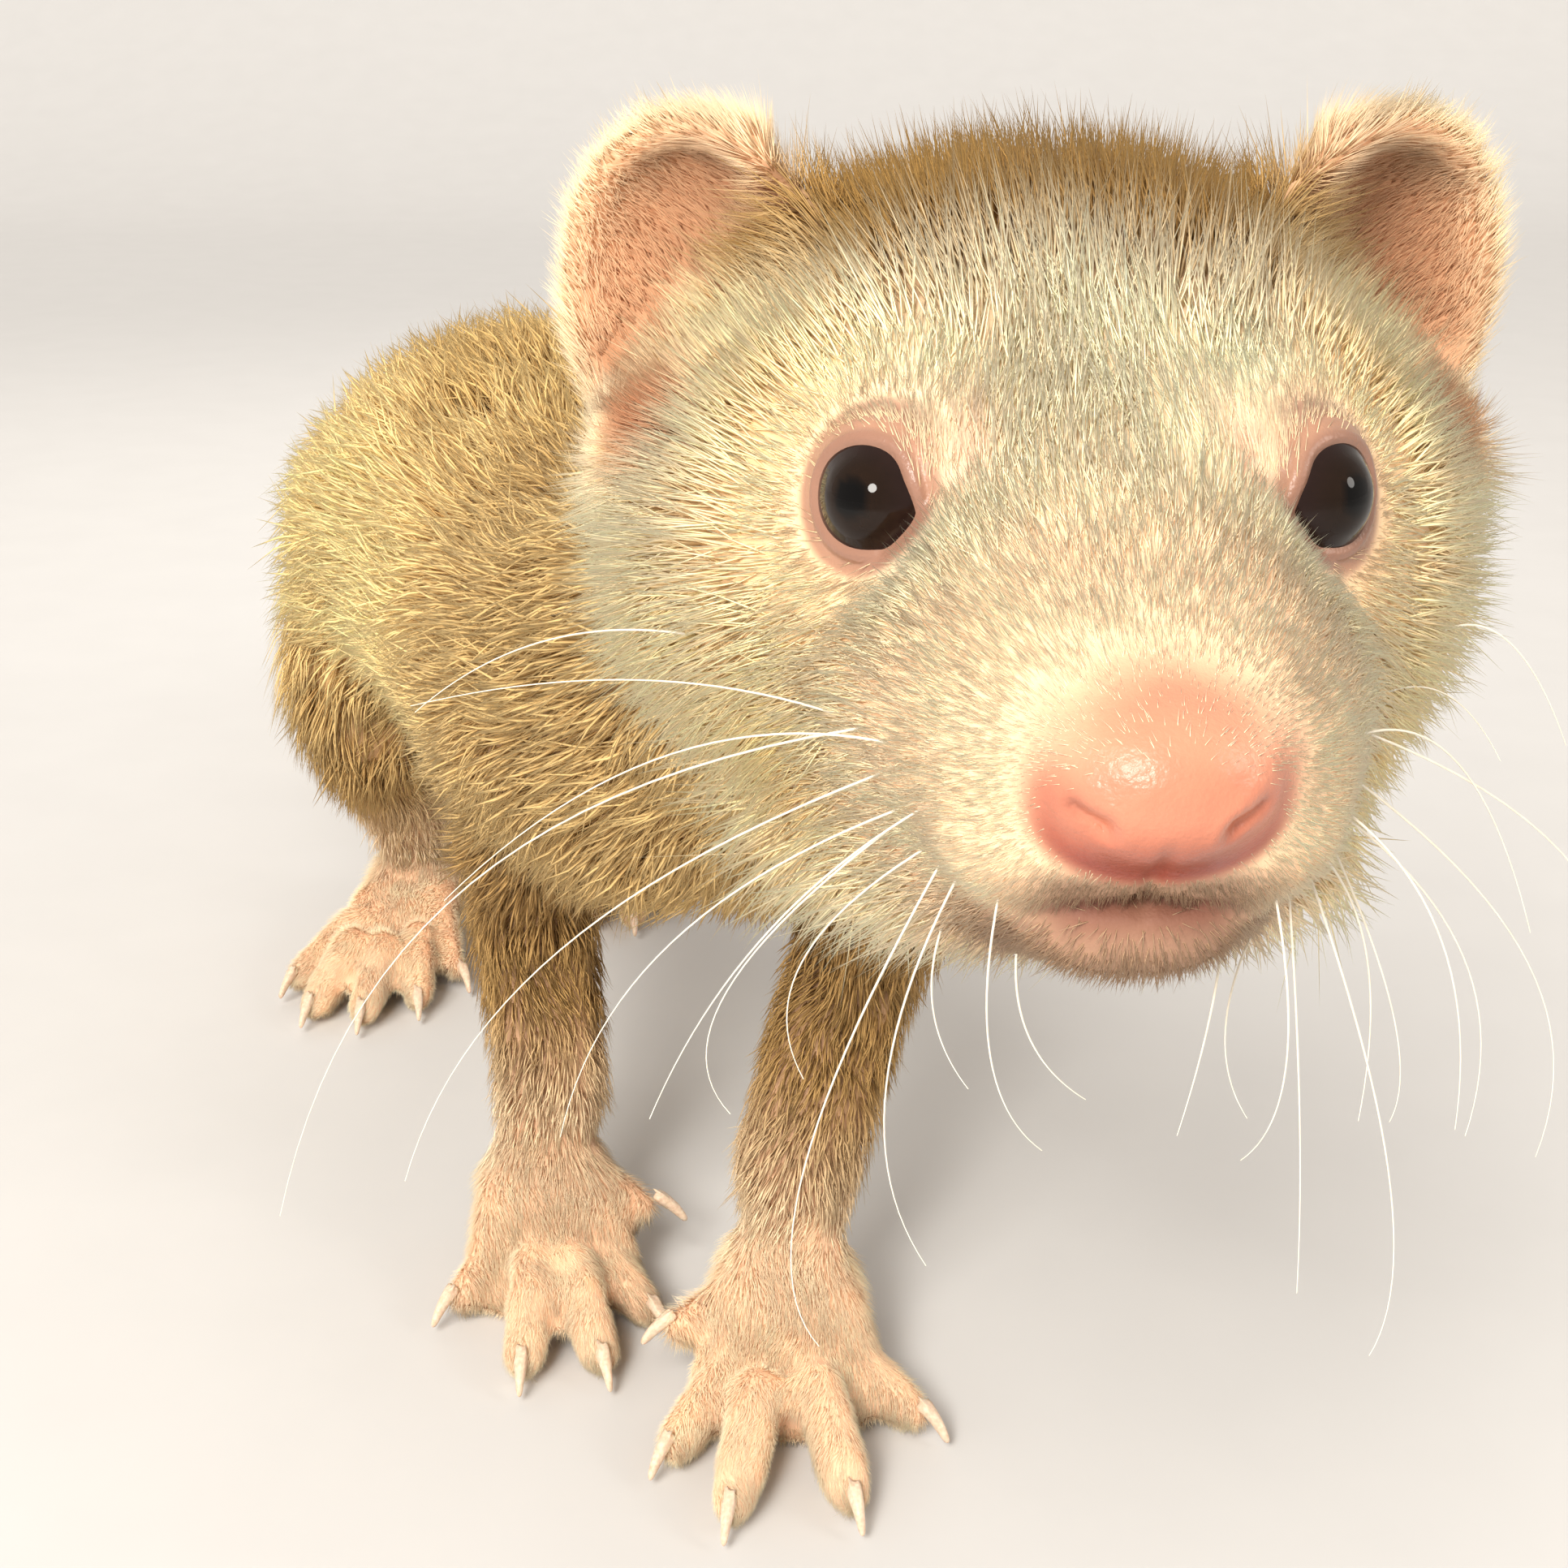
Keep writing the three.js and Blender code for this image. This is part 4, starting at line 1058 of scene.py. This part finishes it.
def tuft_mesh(name, tufts, bent):
    """One piece of coat: closed three-sided tufts that taper to a point, bent once where long."""
    count = len(tufts["roots"])
    rings = 2 if bent else 1
    corners = 3 * rings + 1
    verts = np.empty((count, corners, 3))
    colours = np.empty((count, corners, 3))
    centre = tufts["roots"] - tufts["normals"] * ROOT_SUNK
    for ring in range(rings):
        turn = tufts["stand"] * ((1.35, 0.6)[ring] if bent else 1.0)
        way = tufts["lie"] * np.cos(turn) + tufts["normals"] * np.sin(turn)
        over = np.cross(way, tufts["aside"])
        size = tufts["width"] * (0.5, 0.42)[ring]
        for corner, (across, up) in enumerate(((-1.0, -0.25), (1.0, -0.25), (0.0, 0.5))):
            verts[:, ring * 3 + corner] = centre + size * (tufts["aside"] * across + over * up)
        # Colour runs from root to tip; the darker root is partly painted shade deep in the coat.
        part = (0.0, 0.7)[ring]
        tone = tufts["root"] * (1 - part) + tufts["tip"] * part
        colours[:, ring * 3 : ring * 3 + 3] = tone[:, None]
        centre = centre + way * tufts["length"] / rings
    verts[:, -1] = centre
    colours[:, -1] = tufts["tip"]
    verts[:, :, 2] = np.maximum(verts[:, :, 2], HAIR_LOWEST)
    if bent:
        faces = np.array([0, 2, 1, 0, 1, 4, 3, 1, 2, 5, 4, 2, 0, 3, 5, 3, 4, 6, 4, 5, 6, 5, 3, 6])
        starts = np.array([0, 3, 7, 11, 15, 18, 21])
    else:
        faces = np.array([0, 2, 1, 0, 1, 3, 1, 2, 3, 2, 0, 3])
        starts = np.array([0, 3, 6, 9])
    mesh = bpy.data.meshes.new(name)
    mesh.vertices.add(count * corners)
    mesh.loops.add(count * len(faces))
    mesh.polygons.add(count * len(starts))
    mesh.vertices.foreach_set("co", to_frame(verts.reshape(-1, 3)).ravel())
    loops = (np.arange(count)[:, None] * corners + faces).ravel()
    mesh.loops.foreach_set("vertex_index", loops.astype(np.int32))
    loop_starts = (np.arange(count)[:, None] * len(faces) + starts).ravel()
    mesh.polygons.foreach_set("loop_start", loop_starts.astype(np.int32))
    shade_smooth(mesh)
    mesh.update(calc_edges=True)
    paint(mesh, "tone", colours.reshape(-1, 3))
    patch = np.array([(-1, -1), (1, -1), (0, -0.6), (-1, 0.3), (1, 0.3), (0, 0.5)])[: rings * 3]
    patch = HALF_PATCH * np.concatenate([patch, [(0, 1)]])
    spread = tufts["flat"][:, None] + patch[faces]
    mesh.uv_layers.new(name="OFBake").data.foreach_set("uv", np.clip(spread, 0, 1).ravel())
    return mesh


fur = Finish("fur")
fleck = fur.noise(2400.0, 1.0)
fur.wear(
    Base_Color=fur.shade(fur.attribute("tone"), 0.92, 1.08, fleck),
    Roughness=0.5 + 0.2 * fleck,
    Specular_IOR_Level=0.18,
)
skin_mesh.calc_loop_triangles()
triangles = rows_of(skin_mesh.loop_triangles, "vertices", 3, np.int32)
COATS = [
    # kind, tufts, seed, tufts in a piece, bent or straight
    ("fine", 268000, 11, 49000, False),
    ("full", 39800, 12, 19900, True),
]
for kind, count, seed, each, bent in COATS:
    grown = grow_coat(count, seed, not bent)
    for number, start in enumerate(range(0, count, each)):
        tufts = {key: values[start : start + each] for key, values in grown.items()}
        mesh = tuft_mesh("coat_%s_%d" % (kind, number + 1), tufts, bent)
        mesh.materials.append(fur.material)
        piece = set_out(mesh.name, mesh)
        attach(piece, "root")

# Whiskers. Stiff white hairs rooted in the pads beside the nose, above the mouth corners, on cheeks
# and brows, each thickest at its root and bowed down to a fine point.
WHISKERS = [
    # root, middle and tip, told from the nose tip for one side of the head
    ((9.6, 14.0, -2.2), (30.0, 19.0, -12.0), (39.8, 16.0, -28.4)),
    ((9.4, 13.0, -3.8), (25.6, 17.0, -14.6), (33.3, 14.6, -25.7)),
    ((8.8, 12.0, -5.2), (20.2, 14.6, -13.2), (25.6, 13.4, -22.7)),
    ((9.2, 13.6, -6.4), (17.6, 13.6, -15.2), (17.5, 12.0, -20.8)),
    ((7.6, 10.4, -6.6), (14.2, 5.6, -20.0), (13.6, 3.0, -27.5)),
    ((6.8, 9.2, -6.4), (10.6, 6.6, -16.6), (8.8, 5.0, -24.7)),
    ((5.6, 7.2, -6.2), (6.4, 4.4, -13.6), (4.0, 4.0, -18.4)),
    ((8.6, 11.4, -7.2), (14.2, 12.2, -13.2), (14.1, 11.4, -18.7)),
    ((9.8, 15.4, -3.4), (21.0, 24.8, -3.6), (34.0, 29.6, -6.4)),
    ((8.8, 11.0, -2.6), (20.0, 15.6, -4.2), (31.0, 17.0, -12.0)),
    ((7.6, 9.0, -3.6), (15.6, 8.0, -9.6), (21.0, 6.4, -18.0)),
    ((4.6, 10.4, -12.0), (4.0, 9.0, -15.6), (1.4, 9.0, -18.6)),
    ((7.4, 15.0, -12.2), (8.0, 13.6, -16.2), (6.4, 12.0, -19.6)),
    ((19.8, 31.0, -3.0), (27.4, 31.6, -3.6), (34.0, 31.0, -7.2)),
]


def whisker_tree():
    """Runs a fine round hair along every line, tapering from root to tip."""
    tree = bpy.data.node_groups.new("whisker_hair", "GeometryNodeTree")
    for name, way, kind in (
        ("Lines", "INPUT", "Geometry"),
        ("Root radius", "INPUT", "Float"),
        ("Tip radius", "INPUT", "Float"),
        ("Finish", "INPUT", "Material"),
        ("Hairs", "OUTPUT", "Geometry"),
    ):
        tree.interface.new_socket(name, in_out=way, socket_type="NodeSocket" + kind)

    def node(kind, **settings):
        made = tree.nodes.new(kind)
        for key, value in settings.items():
            setattr(made, key, value)
        return made

    source = node("NodeGroupInput")
    curve = node("GeometryNodeMeshToCurve")
    share = node("GeometryNodeSplineParameter")
    taper = node("ShaderNodeMapRange")
    hair = node("GeometryNodeCurveToMesh")
    ring = node("GeometryNodeCurvePrimitiveCircle", mode="RADIUS")
    ring.inputs["Resolution"].default_value = 6
    ring.inputs["Radius"].default_value = 1.0
    whole = node("GeometryNodeRealizeInstances")
    finish = node("GeometryNodeSetMaterial")
    sink = node("NodeGroupOutput")
    hair.inputs["Fill Caps"].default_value = True
    for giver, given, taker, taken in (
        (source, "Lines", curve, "Mesh"),
        (share, "Factor", taper, "Value"),
        (source, "Root radius", taper, "To Min"),
        (source, "Tip radius", taper, "To Max"),
        (curve, "Curve", hair, "Curve"),
        (taper, "Result", hair, "Scale"),
        (ring, "Curve", hair, "Profile Curve"),
        (hair, "Mesh", whole, "Geometry"),
        (whole, "Geometry", finish, "Geometry"),
        (source, "Finish", finish, "Material"),
        (finish, "Geometry", sink, "Hairs"),
    ):
        tree.links.new(giver.outputs[given], taker.inputs[taken])
    return tree


def whisker_lines():
    """A smooth bowed line through root, middle and tip for each whisker of both sides."""
    draw = np.random.default_rng(23)
    points, edges = [], []
    for side in (-1, 1):
        for root, middle, tip in WHISKERS:
            root, middle, tip = (np.array(spot) * [side, 1, 1] for spot in (root, middle, tip))
            if side > 0:
                middle = middle * [0.82, 1, 1] + draw.uniform(-1.0, 1.0, 3) + [0, 0, -0.8]
                tip = root + (tip - root) * draw.uniform(0.78, 0.96) * [0.62, 1, 1] + [0, 0, -3.0]
            pull = 2 * middle - (root + tip) / 2
            first = len(points)
            for share in np.linspace(0, 1, 25):
                spot = root * (1 - share) ** 2 + pull * 2 * share * (1 - share) + tip * share**2
                points.append(to_frame(from_head(spot)))
            edges += [(i, i + 1) for i in range(first, len(points) - 1)]
    mesh = bpy.data.meshes.new("whisker_lines")
    mesh.from_pydata([tuple(point) for point in points], edges, [])
    return mesh


whisker_hair = Finish("whisker_hair")
streak = whisker_hair.noise(900.0, 2.0)
whisker_hair.wear(
    Base_Color=whisker_hair.blend(tint(0.84, 0.80, 0.72), tint(0.95, 0.92, 0.86), streak),
    Roughness=0.28 + 0.15 * streak,
)
lines = set_out("whisker_lines", whisker_lines())
run = lines.modifiers.new("hair", "NODES")
run.node_group = whisker_tree()
fed = {"Root radius": 0.07 * MM, "Tip radius": 0.022 * MM, "Finish": whisker_hair.material}
for socket in run.node_group.interface.items_tree:
    if socket.name in fed:
        run[socket.identifier] = fed[socket.name]
whisker_mesh = worked_mesh(lines)
whisker_mesh.name = "whiskers"
shade_smooth(whisker_mesh)
whiskers = set_out("whiskers", whisker_mesh)
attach(whiskers, "root")

# Floor and light. A pale paper floor that sweeps up behind the animal, four soft lamps, a broad
# dim sun from before it, and even warm light from the room.
BEND_START = 0.9
BEND_RADIUS = 0.6
PAPER_REACH = 3.0


def sweep_mesh():
    """A floor that turns up into a wall a metre behind, on one smooth bend."""
    line = [(-PAPER_REACH, 0.0), (BEND_START, 0.0)]
    for turn in np.linspace(0.06, math.pi / 2, 26):
        back = BEND_START + BEND_RADIUS * math.sin(turn)
        line.append((back, BEND_RADIUS - BEND_RADIUS * math.cos(turn)))
    line.append((BEND_START + BEND_RADIUS, PAPER_REACH))
    verts = [(side * PAPER_REACH, back, high) for back, high in line for side in (-1, 1)]
    faces = [(2 * i, 2 * i + 1, 2 * i + 3, 2 * i + 2) for i in range(len(line) - 1)]
    mesh = bpy.data.meshes.new("floor")
    mesh.from_pydata(verts, [], faces)
    shade_smooth(mesh)
    return mesh


floor_mesh = sweep_mesh()
paper = Finish("pale_paper")
paper_grain = paper.noise(60.0, 3.0)
paper.wear(
    Base_Color=paper.blend(tint(0.80, 0.795, 0.79), tint(0.82, 0.815, 0.81), paper_grain),
    Roughness=0.8 + 0.1 * paper_grain,
)
floor_mesh.materials.append(paper.material)
floor = set_out("floor", floor_mesh)


def softbox(name, place, aim, size, power, colour):
    """A round soft lamp. Only the two in front shine back from the wet nose and eyes."""
    data = bpy.data.lights.new(name, "AREA")
    data.shape = "DISK"
    data.size = size
    data.energy = power
    data.color = colour
    lamp = set_out(name, data)
    lamp.location = to_frame(place)
    direction = Vector(to_frame(aim)) - lamp.location
    lamp.rotation_euler = direction.to_track_quat("-Z", "Y").to_euler()
    lamp.visible_glossy = name in ("key", "fill")


softbox("low", (-330, -60, 70), (0, 120, 90), 0.4, 0.55, (1.0, 0.95, 0.88))
softbox("key", (-130, -230, 300), (10, 120, 90), 0.12, 1.4, (1.0, 0.965, 0.90))
softbox("fill", (520, -60, 330), (0, 180, 60), 0.16, 0.6, (1.0, 0.96, 0.9))
softbox("rim", (-100, 620, 420), (-10, 200, 70), 0.4, 0.8, (1.0, 0.95, 0.88))
sky = bpy.data.lights.new("sky", "SUN")
sky.energy = 2.35
sky.angle = math.radians(28)
sky.color = (1.0, 0.965, 0.91)
sky_lamp = set_out("sky", sky)
sky_lamp.visible_glossy = False
sky_lamp.rotation_euler = Vector((0.30, 0.66, -0.69)).to_track_quat("-Z", "Y").to_euler()
world = bpy.data.worlds.new("room")
bpy.context.scene.world = world
world.use_nodes = True
room_light = world.node_tree.nodes["Background"]
room_light.inputs["Color"].default_value = (0.95, 0.885, 0.815, 1)
room_light.inputs["Strength"].default_value = 0.66
bpy.context.scene.view_settings.view_transform = "Standard"
